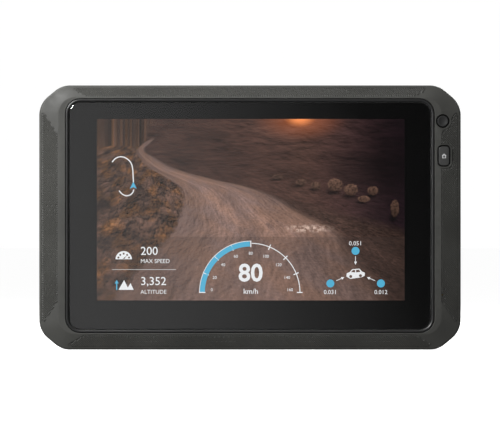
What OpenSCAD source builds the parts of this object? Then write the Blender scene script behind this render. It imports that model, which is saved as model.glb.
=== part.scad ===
// Rugged handheld navigator with a 7 inch touch screen, as an assembly of separate parts.
//
// Every module is drawn in the case frame: x to the right and y up, as the user sees the screen,
// z out of the screen towards the user, with the middle of the case at the origin.
// stand() then sets the case on its lower edge: the screen faces -Y and +Z is up.

/* [Case] */
// Width of the case
case_w = 211; // [209:0.5:214]
// Height of the case, on its lower edge
case_h = 132.3; // [131:0.1:134]
// Depth of the case, front rim to back face
case_d = 24; // [24:0.5:26]
// Height of each corner cut along the side of the case
corner_side = 9.3; // [8:0.1:11]
// Length of each corner cut along the top and bottom of the case
corner_top = 11.2; // [10:0.1:12]
// Radius that blends each end of a corner cut
corner_r = 12; // [11:0.5:13]
// Thickness of the moulded walls
wall = 2.5; // [2.4:0.1:2.7]

/* [Screen] */
// Width of the cover glass
glass_w = 181; // [179:0.5:182]
// Height of the cover glass
glass_h = 113.6; // [112:0.2:114]
// Corner radius of the cover glass
glass_r = 5.8; // [5:0.1:7]
// Width of the lit picture
picture_w = 154; // [150:0.5:156]
// Height of the lit picture
picture_h = 90.8; // [88:0.2:92]

/* [Keys and door] */
// Diameter of the round power key
power_key_d = 6; // [5:0.1:6.2]
// Width of the home key
home_key_w = 5.4; // [5:0.1:5.8]
// Height of the home key
home_key_h = 9.7; // [9:0.1:10]
// Length of the door over the sockets
door_len = 56; // [55:1:58]

/* [Mounting] */
// Distance between the mounting inserts across the case
insert_dx = 38; // [36:0.5:40]
// Distance between the mounting inserts up the case
insert_dy = 30; // [28:0.5:32]
// Radius of the tapped bore in each mounting insert
insert_bore_r = 1.65; // [1.5:0.05:2]

/* [Hidden] */
$fn = 48;
arc_steps = 6;
eps = 0.01;

// Depth stack, from the front rim towards the back.
rim_z = case_d / 2;
back_z = -case_d / 2;
ring_top_z = rim_z - 0.1;
glass_top_z = rim_z - 0.4;
glass_t = 1.2;
deck_top_z = rim_z - 1.8;
deck_z = rim_z - 4;
split_z = rim_z - 8;
chassis_z = rim_z - 7.4;
chassis_t = 1.2;
board_z = rim_z - 9.6;
board_t = 1.2;
floor_z = back_z + 2.4;

// Front face: the glass sits in a pocket with a trim ring, a little above the middle of the case.
glass_y = 0.85;
ring_gap = 0.25;
ring_w = 1.4;
plateau_w = 191.6;
plateau_h = 118.6;
plateau_r = 8.5;
plateau_y = 0.9;
back_plateau_w = 186;
back_plateau_h = 108;
back_plateau_r = 9;

// Grip bands sunk in the sloping border, with their ends cut on the slant.
band_depth = 0.35;
side_band_x = 95.8;
side_band_end = 52.5;
side_band_inner_end = 42;
top_band_y = 60.3;
bottom_band_y = -58.5;
long_band_end = 93.5;
long_band_inner_end = 82.5;
back_band_x = 93.4;
back_band_end = 50;
back_band_inner_end = 40;

// Display module, whose picture lies off the middle of its outline.
picture_x = 0.3;
picture_y = 3.7;
lcd_w = 165;
lcd_h = 100;
lcd_y = 3;
lcd_t = 1.4;
backlight_t = 2.35;
tray_t = 0.4;
lcd_top_z = deck_top_z + 0.1;
backlight_top_z = lcd_top_z - lcd_t - 0.05;
tray_top_z = backlight_top_z - backlight_t;
flex_y = 30;
flex_w = 22;

// Housing seal, in a groove that the back cover's tongue also enters.
groove_in = 1;
groove_w = 0.9;
groove_depth = 1.6;
seal_t = 0.6;
fit_gap = 0.05;

// Eight screws hold the two shells together.
screw_at = [for (x = [-88, -30, 30, 88], y = [-57.5, 57.5]) [x, y]];
screw_r = 1.25;
screw_head_r = 2.3;
screw_head_t = 1.5;
counterbore_r = 2.7;
counterbore_z = back_z + 3.2;
boss_r = 2.8;
boss_z = split_z - 1.8;
case_insert_r = 1.9;
case_insert_len = 4;

// Chassis screws and the board's spacers.
chassis_screw_at = [[-92, -40], [-92, 14], [-60, -52.5], [60, -52.5], [0, 58], [84.7, -10]];
board_screw_at = [[-80, 8], [-40, 8], [20, 8], [74, 8], [-60, 48], [50, 48]];

// Front keys on the right of the glass.
power_key_at = [96.3, 48];
home_key_at = [97.1, 30.7];
key_gap = 0.3;
key_top_z = rim_z - 0.35;
key_flange_t = 0.8;
key_travel = 0.6;
key_board_z = rim_z - 7.8;
key_board_t = 1;
switch_top_z = deck_z - fit_gap - key_flange_t - key_travel - 0.05;
mic_at = [96.2, -38.9];

// Volume keys in the top wall of the back cover.
volume_x = [53, 69];
volume_w = 12;
volume_h = 4.2;
volume_z = -2;
volume_travel = 0.5;
volume_inner_y = case_h / 2 - wall;

// Socket bay in the left wall, under a hinged door.
bay_y = 21;
side_x = -case_w / 2;
door_t = 2.4;
hinge_r = door_t / 2;
hinge_x = side_x + hinge_r;
hinge_z = -5;
door_top_z = split_z - 1.2;
bay_depth = 3.4;
bay_bottom_z = hinge_z - 1.6;
bay_top_z = door_top_z + 0.25;
bay_len = door_len + 0.8;
bulkhead_t = 2;
bulkhead_x = side_x + bay_depth;
pin_r = 0.6;
knuckle_bore_r = 0.65;
ear_bore_r = 0.62;
ear_w = 4;
ear_at = [-18, 18];
usb_y = bay_y + 17;
card_y = bay_y - 1;
card_z = 0.9;
jack_y = bay_y - 18;
jack_z = -0.2;
jack_bore_r = 1.8;

// Rear camera, flash, loudspeaker, dock contacts and vent.
camera_at = [62, 38];
camera_r = 5;
flash_at = [76, 38];
flash_r = 1.7;
speaker_at = [-70, -30];
speaker_w = 34;
speaker_h = 26;
slot_count = 7;
slot_len = 24;
slot_r = 0.7;
slot_pitch = 3;
dock_at = [0, -44];
dock_w = 40;
dock_h = 8;
pad_count = 8;
pad_pitch = 4.4;
pad_r = 1.2;
vent_at = [70, -34];
vent_r = 4;
insert_r = 2.9;
insert_len = 6;
battery_w = 108;
battery_h = 50;
battery_t = 7.4;
battery_at = [8, -24];

// ---------- outlines ----------

function arc(c, r, from, to, n = arc_steps) =
    [for (i = [0:n]) let (a = from + (to - from) * i / n) c + r * [cos(a), sin(a)]];

function reversed(p) = [for (i = [len(p) - 1:-1:0]) p[i]];

function flip_x(p) = reversed([for (q = p) [-q.x, q.y]]);

function flip_y(p) = reversed([for (q = p) [q.x, -q.y]]);

// Top right corner of the case: an arc, the slanted cut and a second arc, all moved in by inset.
function case_corner(inset) =
    let (
        turn = atan2(corner_top, corner_side),
        c1 = [case_w / 2 - corner_r, case_h / 2 - corner_side - corner_r * tan(turn / 2)],
        c2 = [case_w / 2 - corner_top - corner_r * tan(45 - turn / 2), case_h / 2 - corner_r]
    )
    concat(
        arc(c1, corner_r - inset, 0, turn),
        arc(c2, corner_r - inset, turn, 90)
    );

function case_outline(inset = 0) =
    let (
        right = case_corner(inset),
        top = concat(right, flip_x(right))
    )
    concat(top, flip_y(top));

function rounded_box(w, h, r) =
    let (
        right = arc([w / 2 - r, h / 2 - r], r, 0, 90),
        top = concat(right, flip_x(right))
    )
    concat(top, flip_y(top));

module case_slab(inset, z0, z1)
    translate([0, 0, z0]) linear_extrude(z1 - z0) polygon(case_outline(inset));

module plate(w, h, r, z0, z1, at = [0, 0])
    translate([at.x, at.y, z0]) linear_extrude(z1 - z0) polygon(rounded_box(w, h, r));

module block(x0, x1, y0, y1, z0, z1)
    translate([x0, y0, z0]) cube([x1 - x0, y1 - y0, z1 - z0]);

module post(at, r, z0, z1)
    translate([at.x, at.y, z0]) cylinder(r = r, h = z1 - z0);

module posts(places, r, z0, z1)
    for (p = places) post(p, r, z0, z1);

module stand() translate([0, 0, case_h / 2]) rotate([90, 0, 0]) children();

// ---------- front shell ----------

module bezel_envelope() hull() {
    case_slab(0, split_z, rim_z - 3);
    case_slab(0.45, rim_z - 2.2, rim_z - 2.2 + eps);
    case_slab(1.4, rim_z - 1.7, rim_z - 1.7 + eps);
    plate(plateau_w, plateau_h, plateau_r, rim_z - eps, rim_z, [0, plateau_y]);
}

// A band along the right (side = 1) or left (side = -1) border of a face.
module side_band(side, x, y, inner_y)
    polygon([for (p = [[x, inner_y], [x, -inner_y], [case_w / 2 - 2.5, -y],
        [case_w / 2 - 0.9, -y], [case_w / 2 - 0.9, y], [case_w / 2 - 2.5, y]]) [side * p.x, p.y]]);

module long_band(y, outer_y)
    polygon([[-long_band_inner_end, y], [long_band_inner_end, y],
        [long_band_end, outer_y], [-long_band_end, outer_y]]);

module front_bands() {
    for (side = [-1, 1]) side_band(side, side_band_x, side_band_end, side_band_inner_end);
    long_band(top_band_y, case_h / 2 - 0.9);
    long_band(bottom_band_y, 0.9 - case_h / 2);
}

module front_band_cut() difference() {
    translate([0, 0, rim_z - 5]) linear_extrude(6) front_bands();
    translate([0, 0, -band_depth]) bezel_envelope();
}

module display_opening() {
    plate(lcd_w + 1, lcd_h + 1, 1.5, deck_z - 1, deck_top_z + eps, [0, lcd_y]);
    block(-lcd_w / 2 - 3.6, 0, flex_y - flex_w / 2 - 1, flex_y + flex_w / 2 + 1,
        deck_z - 1, deck_top_z + eps);
}

module front_bezel() color([0.14, 0.14, 0.13]) difference() {
    union() {
        difference() {
            bezel_envelope();
            case_slab(wall, split_z - 1, deck_z);
            front_band_cut();
        }
        posts(screw_at, boss_r, boss_z, deck_z + 1);
        posts(chassis_screw_at, 2.2, chassis_z + chassis_t, deck_z + 1);
        posts(key_board_screw_at, 1.8, key_board_z + key_board_t, deck_z + 1);
    }
    plate(glass_w + 2 * (ring_w + 2 * ring_gap), glass_h + 2 * (ring_w + 2 * ring_gap),
        glass_r + ring_w + 2 * ring_gap, deck_top_z, rim_z + 1, [0, glass_y]);
    display_opening();
    difference() {
        case_slab(groove_in, split_z - 1, split_z + groove_depth);
        case_slab(groove_in + groove_w, split_z - 2, split_z + groove_depth + 1);
    }
    post(power_key_at, power_key_d / 2 + key_gap, deck_z - 1, rim_z + 1);
    plate(home_key_w + 2 * key_gap, home_key_h + 2 * key_gap, 2.2, deck_z - 1, rim_z + 1,
        home_key_at);
    post(mic_at, 0.45, deck_z - 1, rim_z + 1);
    posts(screw_at, case_insert_r, boss_z - 1, boss_z + case_insert_len + 0.4);
    posts(chassis_screw_at, 0.8, chassis_z, deck_z + 0.6);
    posts(key_board_screw_at, 0.65, key_board_z, deck_z);
}

module housing_seal() color([0.75, 0.25, 0.1])
    difference() {
        case_slab(groove_in + fit_gap, split_z + groove_depth - seal_t, split_z + groove_depth);
        case_slab(groove_in + groove_w - fit_gap, split_z, split_z + groove_depth + 1);
    }

module trim_ring() color([0.1, 0.1, 0.1]) {
    w0 = glass_w + 2 * ring_gap;
    h0 = glass_h + 2 * ring_gap;
    difference() {
        hull() {
            plate(w0 + 2 * ring_w, h0 + 2 * ring_w, glass_r + ring_gap + ring_w,
                deck_top_z, ring_top_z - 0.35, [0, glass_y]);
            plate(w0 + 2 * ring_w - 0.7, h0 + 2 * ring_w - 0.7, glass_r + ring_gap + ring_w - 0.35,
                ring_top_z - eps, ring_top_z, [0, glass_y]);
        }
        plate(w0, h0, glass_r + ring_gap, deck_top_z - 1, rim_z, [0, glass_y]);
    }
}

// ---------- display ----------

module cover_glass() color([0.03, 0.03, 0.03])
    plate(glass_w, glass_h, glass_r, glass_top_z - glass_t, glass_top_z, [0, glass_y]);

module glass_tape() color([0.05, 0.05, 0.05]) difference() {
    plate(glass_w - 0.6, glass_h - 0.6, glass_r - 0.3, deck_top_z, glass_top_z - glass_t,
        [0, glass_y]);
    plate(lcd_w + 1, lcd_h + 1, 1.5, 0, rim_z, [0, lcd_y]);
}

module lcd_panel() color([0.25, 0.16, 0.12])
    plate(lcd_w, lcd_h, 0.8, lcd_top_z - lcd_t, lcd_top_z, [0, lcd_y]);

module backlight_unit() color([0.9, 0.9, 0.88])
    plate(lcd_w, lcd_h, 0.8, backlight_top_z - backlight_t, backlight_top_z, [0, lcd_y]);

module display_tray() color([0.7, 0.7, 0.72])
    plate(lcd_w, lcd_h, 0.8, tray_top_z - tray_t, tray_top_z - fit_gap, [0, lcd_y]);

// A ribbon that leaves the panel's left edge, passes the chassis and lies on the board.
module display_flex() color([0.85, 0.45, 0.1]) {
    edge = -lcd_w / 2 - fit_gap;
    y0 = flex_y - flex_w / 2;
    y1 = flex_y + flex_w / 2;
    top = lcd_top_z - 0.5;
    low = board_z + board_t + fit_gap;
    block(edge - 2.2, edge, y0, y1, top - 0.15, top);
    block(edge - 2.35, edge - 2.2, y0, y1, low, top);
    block(edge - 2.2, edge + 12, y0, y1, low, low + 0.15);
}

// ---------- chassis and board ----------

module chassis_plate() color([0.62, 0.64, 0.66]) difference() {
    intersection() {
        case_slab(wall + 0.4, chassis_z, chassis_z + chassis_t);
        block(-case_w, 87, -case_h, case_h, 0, rim_z);
    }
    posts(screw_at, boss_r + 0.4, 0, rim_z);
    posts(chassis_screw_at, 1, 0, rim_z);
    posts(board_screw_at, 0.8, 0, rim_z);
    block(-lcd_w / 2 - 4, -lcd_w / 2 - 1, flex_y - flex_w / 2 - 1, flex_y + flex_w / 2 + 1,
        0, rim_z);
    for (x = [-45, 5, 55]) plate(30, 22, 3, 0, rim_z, [x, -24]);
}

module machine_screw(at, head_r, head_t, head_z, shank_r, tip_z, socket_r)
    difference() {
        union() {
            post(at, head_r, head_z, head_z + head_t);
            post(at, shank_r, head_z + head_t - eps, tip_z);
        }
        translate([at.x, at.y, head_z - 1]) cylinder(r = socket_r, h = 1 + head_t * 0.6, $fn = 6);
    }

module chassis_screws() color([0.75, 0.75, 0.78])
    for (p = chassis_screw_at)
        machine_screw(p, 1.9, 0.9, chassis_z - 0.9, 0.75, deck_z, 0.7);

module main_board() color([0.05, 0.28, 0.14]) difference() {
    plate(180, 48.5, 2, board_z, board_z + board_t, [-9, 28.25]);
    posts(board_screw_at, 1, 0, rim_z);
}

module board_screws() color([0.75, 0.75, 0.78])
    for (p = board_screw_at)
        machine_screw(p, 1.7, 0.8, board_z - 0.8, 0.75, chassis_z + chassis_t - 0.2, 0.65);

module shield_can(w, h, t, at) difference() {
    plate(w, h, 1, board_z - t, board_z, at);
    plate(w - 0.6, h - 0.6, 0.7, board_z - t + 0.3, board_z + 1, at);
}

module shield_cans() color([0.78, 0.79, 0.8]) {
    shield_can(34, 26, 2.2, [-30, 30]);
    shield_can(22, 22, 1.8, [2, 32]);
    shield_can(18, 14, 1.8, [-66, 28]);
}

module gnss_antenna() color([0.82, 0.76, 0.62]) difference() {
    plate(25, 25, 1, board_z - 4, board_z, [35, 36]);
    post([35, 36], 0.9, 0 - 10, board_z - 3.6);
}

module wireless_antenna() color([0.8, 0.55, 0.2])
    plate(40, 7, 0.6, floor_z + fit_gap, floor_z + 0.8, [-40, 44]);

module battery_pack() color([0.2, 0.2, 0.24])
    plate(battery_w, battery_h, 3, chassis_z - 0.3 - battery_t, chassis_z - 0.3, battery_at);

// A sheet strap over the back of the battery, with a foot at each end on the chassis.
module battery_bracket() color([0.7, 0.7, 0.72]) {
    low = chassis_z - 0.3 - battery_t - 0.7;
    half = battery_h / 2 + 0.4;
    for (dx = [-34, 34]) {
        x0 = battery_at.x + dx - 5;
        block(x0, x0 + 10, battery_at.y - half - 0.6, battery_at.y + half + 0.6, low, low + 0.6);
        for (s = [-1, 1]) {
            inner = battery_at.y + s * half;
            outer = battery_at.y + s * (half + 0.6);
            block(x0, x0 + 10, min(inner, outer), max(inner, outer), low, chassis_z);
        }
    }
}

// ---------- front keys ----------

key_board_screw_at = [[91.5, 39.5], [91.5, 22.5]];

module power_button() color([0.12, 0.12, 0.12]) {
    difference() {
        hull() {
            post(power_key_at, power_key_d / 2, deck_z - fit_gap - key_flange_t, key_top_z - 0.4);
            post(power_key_at, power_key_d / 2 - 0.4, key_top_z - eps, key_top_z);
        }
        translate([power_key_at.x, power_key_at.y, key_top_z + 14.6]) sphere(r = 15, $fn = 96);
    }
    post(power_key_at, power_key_d / 2 + 0.9, deck_z - fit_gap - key_flange_t, deck_z - fit_gap);
}

module home_button() color([0.17, 0.17, 0.16]) {
    hull() {
        plate(home_key_w, home_key_h, 1.9, deck_z - fit_gap - key_flange_t, key_top_z - 0.4,
            home_key_at);
        plate(home_key_w - 0.8, home_key_h - 0.8, 1.5, key_top_z - eps, key_top_z, home_key_at);
    }
    plate(home_key_w + 1.8, home_key_h + 1.8, 2.6, deck_z - fit_gap - key_flange_t,
        deck_z - fit_gap, home_key_at);
}

module key_board() color([0.05, 0.28, 0.14]) difference() {
    plate(13.5, 34, 1.5, key_board_z, key_board_z + key_board_t, [95, 35.5]);
    posts(key_board_screw_at, 0.8, 0, rim_z);
}

module tact_switch(at) {
    plate(5, 5, 0.5, key_board_z + key_board_t, switch_top_z - 0.4, at);
    post(at, 1.2, switch_top_z - 0.4 - eps, switch_top_z);
}

module key_switches() color([0.7, 0.7, 0.72]) {
    tact_switch(power_key_at);
    tact_switch(home_key_at);
}

module key_board_screws() color([0.75, 0.75, 0.78])
    for (p = key_board_screw_at)
        machine_screw(p, 1.4, 0.7, key_board_z - 0.7, 0.6, deck_z - 0.6, 0.55);

module microphone() color([0.75, 0.7, 0.5]) difference() {
    plate(4, 3.2, 0.4, deck_z - 1.2, deck_z - fit_gap, mic_at);
    post(mic_at, 0.4, deck_z - 0.7, rim_z);
}

// ---------- volume keys in the top wall ----------

// Turns a plate drawn in x and y so that it stands across the top wall, facing up the case.
module on_top_wall(x, y0, y1)
    translate([x, y1, volume_z]) rotate([90, 0, 0]) linear_extrude(y1 - y0) children();

module volume_key(x) {
    on_top_wall(x, volume_inner_y - fit_gap - 0.8, case_h / 2 - 0.45)
        polygon(rounded_box(volume_w, volume_h, 1.6));
    on_top_wall(x, case_h / 2 - 0.46, case_h / 2 - 0.05)
        polygon(rounded_box(volume_w - 0.8, volume_h - 0.8, 1.2));
    on_top_wall(x, volume_inner_y - fit_gap - 0.8, volume_inner_y - fit_gap)
        polygon(rounded_box(volume_w + 1.6, volume_h + 1.6, 2));
}

module volume_up_key() color([0.15, 0.15, 0.14]) volume_key(volume_x[1]);

module volume_down_key() color([0.15, 0.15, 0.14]) volume_key(volume_x[0]);

volume_switch_y = volume_inner_y - fit_gap - 0.8 - volume_travel - 0.1;

module volume_board() color([0.05, 0.28, 0.14])
    block(45, 77, volume_switch_y - 2.6, volume_switch_y - 1.6, volume_z - 4, volume_z + 4);

module volume_switches() color([0.7, 0.7, 0.72])
    for (x = volume_x) {
        on_top_wall(x, volume_switch_y - 1.6, volume_switch_y - 0.4)
            polygon(rounded_box(4.5, 4.5, 0.5));
        on_top_wall(x, volume_switch_y - 0.41, volume_switch_y) circle(r = 1.1);
    }

// ---------- back shell ----------

module cover_envelope() hull() {
    case_slab(0, back_z + 3.2, split_z);
    case_slab(0.45, back_z + 2.3, back_z + 2.3 + eps);
    case_slab(1.4, back_z + 1.75, back_z + 1.75 + eps);
    plate(back_plateau_w, back_plateau_h, back_plateau_r, back_z, back_z + eps);
}

module back_band_cut() difference() {
    translate([0, 0, back_z - 1]) linear_extrude(5)
        for (side = [-1, 1]) side_band(side, back_band_x, back_band_end, back_band_inner_end);
    translate([0, 0, band_depth]) cover_envelope();
}

module speaker_slots()
    for (i = [0:slot_count - 1])
        translate([speaker_at.x, speaker_at.y + (i - (slot_count - 1) / 2) * slot_pitch, 0]) {
            block(-slot_len / 2, slot_len / 2, -slot_r, slot_r, back_z - 1, floor_z + 1);
            for (s = [-1, 1]) post([s * slot_len / 2, 0], slot_r, back_z - 1, floor_z + 1);
        }

module camera_hole() {
    post(camera_at, camera_r + 0.08, back_z - 1, back_z + 1.9);
    post(camera_at, camera_r - 1, back_z, floor_z + 1);
    post(flash_at, flash_r + 0.08, back_z - 1, floor_z + 1);
}

module dock_recess() {
    plate(dock_w + 3, dock_h + 3, 3, back_z - 1, back_z + 0.7, dock_at);
    plate(dock_w, dock_h, 1.5, back_z, floor_z + 1, dock_at);
}

module vent_holes()
    for (i = [0:6])
        post(vent_at + (i == 0 ? [0, 0] : 2.2 * [cos(60 * i), sin(60 * i)]), 0.55,
            back_z - 1, floor_z + 1);

insert_at = [for (sx = [-1, 1], sy = [-1, 1]) [sx * insert_dx / 2, sy * insert_dy / 2]];

// Bay walls and the bulkhead behind the door, before the sockets are cut through it.
module bay_body()
    block(side_x + 1.2, bulkhead_x + bulkhead_t, bay_y - bay_len / 2 - 2.5,
        bay_y + bay_len / 2 + 2.5, floor_z + 1, split_z);

module bay_cut() {
    block(side_x - 1, bulkhead_x, bay_y - bay_len / 2, bay_y + bay_len / 2,
        bay_bottom_z, bay_top_z);
    block(side_x, case_w / 2 + side_x, usb_y - 4.7, usb_y + 4.7, 0.8 - 1.8, 0.8 + 1.8);
    block(side_x, case_w / 2 + side_x, card_y - 6.1, card_y + 6.1, card_z - 0.65, card_z + 0.65);
    translate([side_x, jack_y, jack_z]) rotate([0, 90, 0]) cylinder(r = 2.9, h = 10);
}

// Ears that carry the hinge pin stand on the bulkhead.
module hinge_ears()
    for (y = ear_at)
        translate([0, bay_y + y - ear_w / 2, 0]) {
            translate([hinge_x, 0, hinge_z]) rotate([-90, 0, 0]) cylinder(r = hinge_r, h = ear_w);
            block(hinge_x, bulkhead_x + 0.5, 0, ear_w, hinge_z - 0.9, hinge_z + 0.9);
        }

module pin_bore(r)
    translate([hinge_x, bay_y - door_len / 2 - 3, hinge_z]) rotate([-90, 0, 0])
        cylinder(r = r, h = door_len + 6);

module rear_cover() color([0.13, 0.13, 0.12]) difference() {
    union() {
        difference() {
            cover_envelope();
            case_slab(wall, floor_z + 1.3, split_z + 1);
            case_slab(7, floor_z, split_z + 1);
            back_band_cut();
        }
        difference() {
            case_slab(groove_in + 0.08, split_z - 1, split_z + groove_depth - seal_t - 0.05);
            case_slab(groove_in + groove_w - 0.08, split_z - 2, split_z + 2);
        }
        difference() {
            union() {
                bay_body();
                posts(screw_at, 3.4, floor_z - 0.5, boss_z - 0.1);
                posts(insert_at, 4.6, floor_z - 0.5, back_z + insert_len + 1.2);
                block(45, 77, volume_switch_y - 4.2, volume_switch_y - 2.65, floor_z - 0.5, 1);
            }
            bay_cut();
        }
        hinge_ears();
    }
    bay_opening();
    posts(screw_at, counterbore_r, back_z - 1, counterbore_z);
    posts(screw_at, screw_r + 0.15, back_z, boss_z + 1);
    posts(insert_at, insert_r, back_z - 1, back_z + insert_len);
    for (x = volume_x)
        on_top_wall(x, volume_inner_y - 1, case_h / 2 + 1)
            polygon(rounded_box(volume_w + 0.6, volume_h + 0.6, 1.9));
    speaker_slots();
    camera_hole();
    dock_recess();
    vent_holes();
    pin_bore(ear_bore_r);
}

// The recess through the outer wall; it leaves the ears standing.
module bay_opening() difference() {
    block(side_x - 1, bulkhead_x, bay_y - bay_len / 2, bay_y + bay_len / 2,
        bay_bottom_z, bay_top_z);
    hinge_ears();
}

// ---------- door and sockets ----------

module port_door() color([0.12, 0.12, 0.115]) difference() {
    union() {
        block(side_x, side_x + door_t, bay_y - door_len / 2, bay_y + door_len / 2,
            hinge_z, door_top_z);
        translate([hinge_x, bay_y - door_len / 2, hinge_z]) rotate([-90, 0, 0])
            cylinder(r = hinge_r, h = door_len);
    }
    for (y = ear_at)
        block(side_x - 1, side_x + door_t + 1, bay_y + y - ear_w / 2 - 0.3,
            bay_y + y + ear_w / 2 + 0.3, hinge_z - 2, hinge_z + hinge_r + 0.3);
    pin_bore(knuckle_bore_r);
    translate([side_x - 5.1, bay_y, door_top_z]) cylinder(r = 6, h = 2.6, center = true);
}

module port_door_seal() color([0.55, 0.2, 0.08])
    translate([side_x + door_t + fit_gap, bay_y, (hinge_z + 1.7 + door_top_z - 0.4) / 2])
        rotate([0, 90, 0]) linear_extrude(bay_depth - door_t - 2 * fit_gap) difference() {
            polygon(rounded_box(door_top_z - 0.4 - hinge_z - 1.7, door_len - 4, 1.8));
            polygon(rounded_box(door_top_z - 0.4 - hinge_z - 1.7 - 1.6, door_len - 5.6, 1));
        }

module port_door_pin() color([0.75, 0.75, 0.78])
    translate([hinge_x, bay_y - door_len / 2 - 0.3, hinge_z]) rotate([-90, 0, 0])
        cylinder(r = pin_r, h = door_len + 0.6);

module usb_socket() color([0.78, 0.79, 0.8])
    translate([bulkhead_x + 0.4, usb_y, 0.8]) rotate([0, 90, 0]) {
        difference() {
            linear_extrude(7.5) polygon(rounded_box(3.1, 9, 1.5));
            translate([0, 0, -1]) linear_extrude(7) polygon(rounded_box(2.5, 8.4, 1.2));
        }
        linear_extrude(6.8) square([0.7, 6.4], center = true);
    }

module card_socket() color([0.78, 0.79, 0.8]) difference() {
    block(bulkhead_x + 2.05, bulkhead_x + 17, card_y - 7, card_y + 7, card_z - 1,
        board_z - fit_gap);
    block(bulkhead_x, bulkhead_x + 16.2, card_y - 5.7, card_y + 5.7, card_z - 0.55, card_z + 0.55);
}

module memory_card() color([0.06, 0.06, 0.07])
    translate([bulkhead_x + 0.4 + 7.5, card_y, card_z - 0.5]) linear_extrude(1)
        polygon(rounded_box(15, 11, 0.6));

module audio_jack() color([0.08, 0.08, 0.08]) {
    translate([bulkhead_x + 0.3, jack_y, jack_z]) rotate([0, 90, 0]) difference() {
        cylinder(r = 2.55, h = 3);
        translate([0, 0, -1]) cylinder(r = jack_bore_r, h = 20);
    }
    translate([bulkhead_x + 2.1, jack_y, jack_z]) rotate([0, 90, 0]) difference() {
        linear_extrude(12.5) square([5.1, 6.4], center = true);
        translate([0, 0, -1]) cylinder(r = jack_bore_r, h = 12.6);
    }
}

// ---------- camera, flash, loudspeaker, contacts, vent ----------

module camera_ring() color([0.3, 0.3, 0.31]) difference() {
    post(camera_at, camera_r, back_z + 0.1, back_z + 1.85);
    translate([camera_at.x, camera_at.y, back_z]) cylinder(r1 = camera_r - 0.5, r2 = camera_r - 1.3,
        h = 0.8);
    post(camera_at, camera_r - 1.3, back_z, back_z + 3);
}

module camera_window() color([0.05, 0.05, 0.07])
    post(camera_at, camera_r - 1.34, back_z + 0.8, back_z + 1.6);

module camera_module() color([0.1, 0.1, 0.1]) {
    post(camera_at, camera_r - 1.8, back_z + 1.7, floor_z + 0.9);
    plate(9, 9, 0.6, floor_z + 0.8, floor_z + 5.4, camera_at);
}

module flash_lens() color([0.9, 0.88, 0.75])
    post(flash_at, flash_r, back_z + 0.1, floor_z - 0.1);

module flash_led() color([0.9, 0.8, 0.3])
    plate(3, 3, 0.2, floor_z + fit_gap, floor_z + 0.9, flash_at);

module speaker_driver() color([0.1, 0.1, 0.1]) {
    plate(speaker_w, speaker_h, 5, floor_z + 1.3, floor_z + 4.4, speaker_at);
    plate(speaker_w - 10, speaker_h - 8, 4, floor_z + 4.3, floor_z + 6.4, speaker_at);
}

module speaker_gasket() color([0.2, 0.2, 0.2]) difference() {
    plate(speaker_w - 0.5, speaker_h - 0.5, 4.5, floor_z + 0.35, floor_z + 1.25, speaker_at);
    plate(speaker_w - 4.5, speaker_h - 3.5, 3, floor_z, floor_z + 2, speaker_at);
}

module speaker_mesh() color([0.3, 0.3, 0.31])
    plate(speaker_w - 1, speaker_h - 1, 4, floor_z + fit_gap, floor_z + 0.3, speaker_at);

pad_at = [for (i = [0:pad_count - 1]) dock_at + [(i - (pad_count - 1) / 2) * pad_pitch, 0]];

module dock_contact_block() color([0.06, 0.06, 0.06]) difference() {
    union() {
        plate(dock_w - 0.2, dock_h - 0.2, 1.4, back_z + 0.9, floor_z + 0.1, dock_at);
        plate(dock_w + 3, dock_h + 3, 2, floor_z + fit_gap, floor_z + 1.6, dock_at);
    }
    posts(pad_at, pad_r + 0.05, back_z, floor_z + 3);
}

module dock_contacts() color([0.85, 0.68, 0.3])
    posts(pad_at, pad_r, back_z + 0.75, floor_z + 2);

module vent_membrane() color([0.92, 0.92, 0.92])
    post(vent_at, vent_r, floor_z + fit_gap, floor_z + 0.35);

// ---------- inserts and case screws ----------

module mount_inserts() color([0.8, 0.62, 0.3])
    for (p = insert_at) difference() {
        post(p, insert_r - 0.03, back_z + 0.15, back_z + insert_len - 0.05);
        post(p, insert_bore_r, back_z - 1, back_z + insert_len + 1);
    }

module case_inserts() color([0.8, 0.62, 0.3])
    for (p = screw_at) difference() {
        post(p, case_insert_r - 0.03, boss_z + 0.05, boss_z + case_insert_len);
        post(p, screw_r + 0.05, boss_z - 1, boss_z + case_insert_len + 1);
    }

module case_screws() color([0.35, 0.35, 0.36])
    for (p = screw_at)
        machine_screw(p, screw_head_r, screw_head_t, counterbore_z - screw_head_t, screw_r,
            boss_z + case_insert_len - 0.3, 1.1);

// ---------- one line per node ----------

stand() front_bezel();
stand() rear_cover();
stand() housing_seal();
stand() trim_ring();
stand() cover_glass();
stand() glass_tape();
stand() lcd_panel();
stand() backlight_unit();
stand() display_tray();
stand() display_flex();
stand() chassis_plate();
stand() chassis_screws();
stand() main_board();
stand() board_screws();
stand() shield_cans();
stand() gnss_antenna();
stand() wireless_antenna();
stand() battery_pack();
stand() battery_bracket();
stand() power_button();
stand() home_button();
stand() key_board();
stand() key_switches();
stand() key_board_screws();
stand() microphone();
stand() volume_up_key();
stand() volume_down_key();
stand() volume_board();
stand() volume_switches();
stand() port_door();
stand() port_door_seal();
stand() port_door_pin();
stand() usb_socket();
stand() card_socket();
stand() memory_card();
stand() audio_jack();
stand() camera_module();
stand() camera_window();
stand() camera_ring();
stand() flash_lens();
stand() flash_led();
stand() speaker_driver();
stand() speaker_gasket();
stand() speaker_mesh();
stand() dock_contact_block();
stand() dock_contacts();
stand() vent_membrane();
stand() mount_inserts();
stand() case_inserts();
stand() case_screws();
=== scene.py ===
"""The looks of a rugged handheld navigator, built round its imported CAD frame.

Shapes are worked out in the case frame, in millimetres: x to the right and y up as the user sees the screen,
z out of the screen, with the middle of the case at the origin. row() takes them to the frame's metres.
"""
import math

import bmesh
import bpy
import numpy as np
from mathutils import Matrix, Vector
from mathutils.geometry import delaunay_2d_cdt


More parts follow.
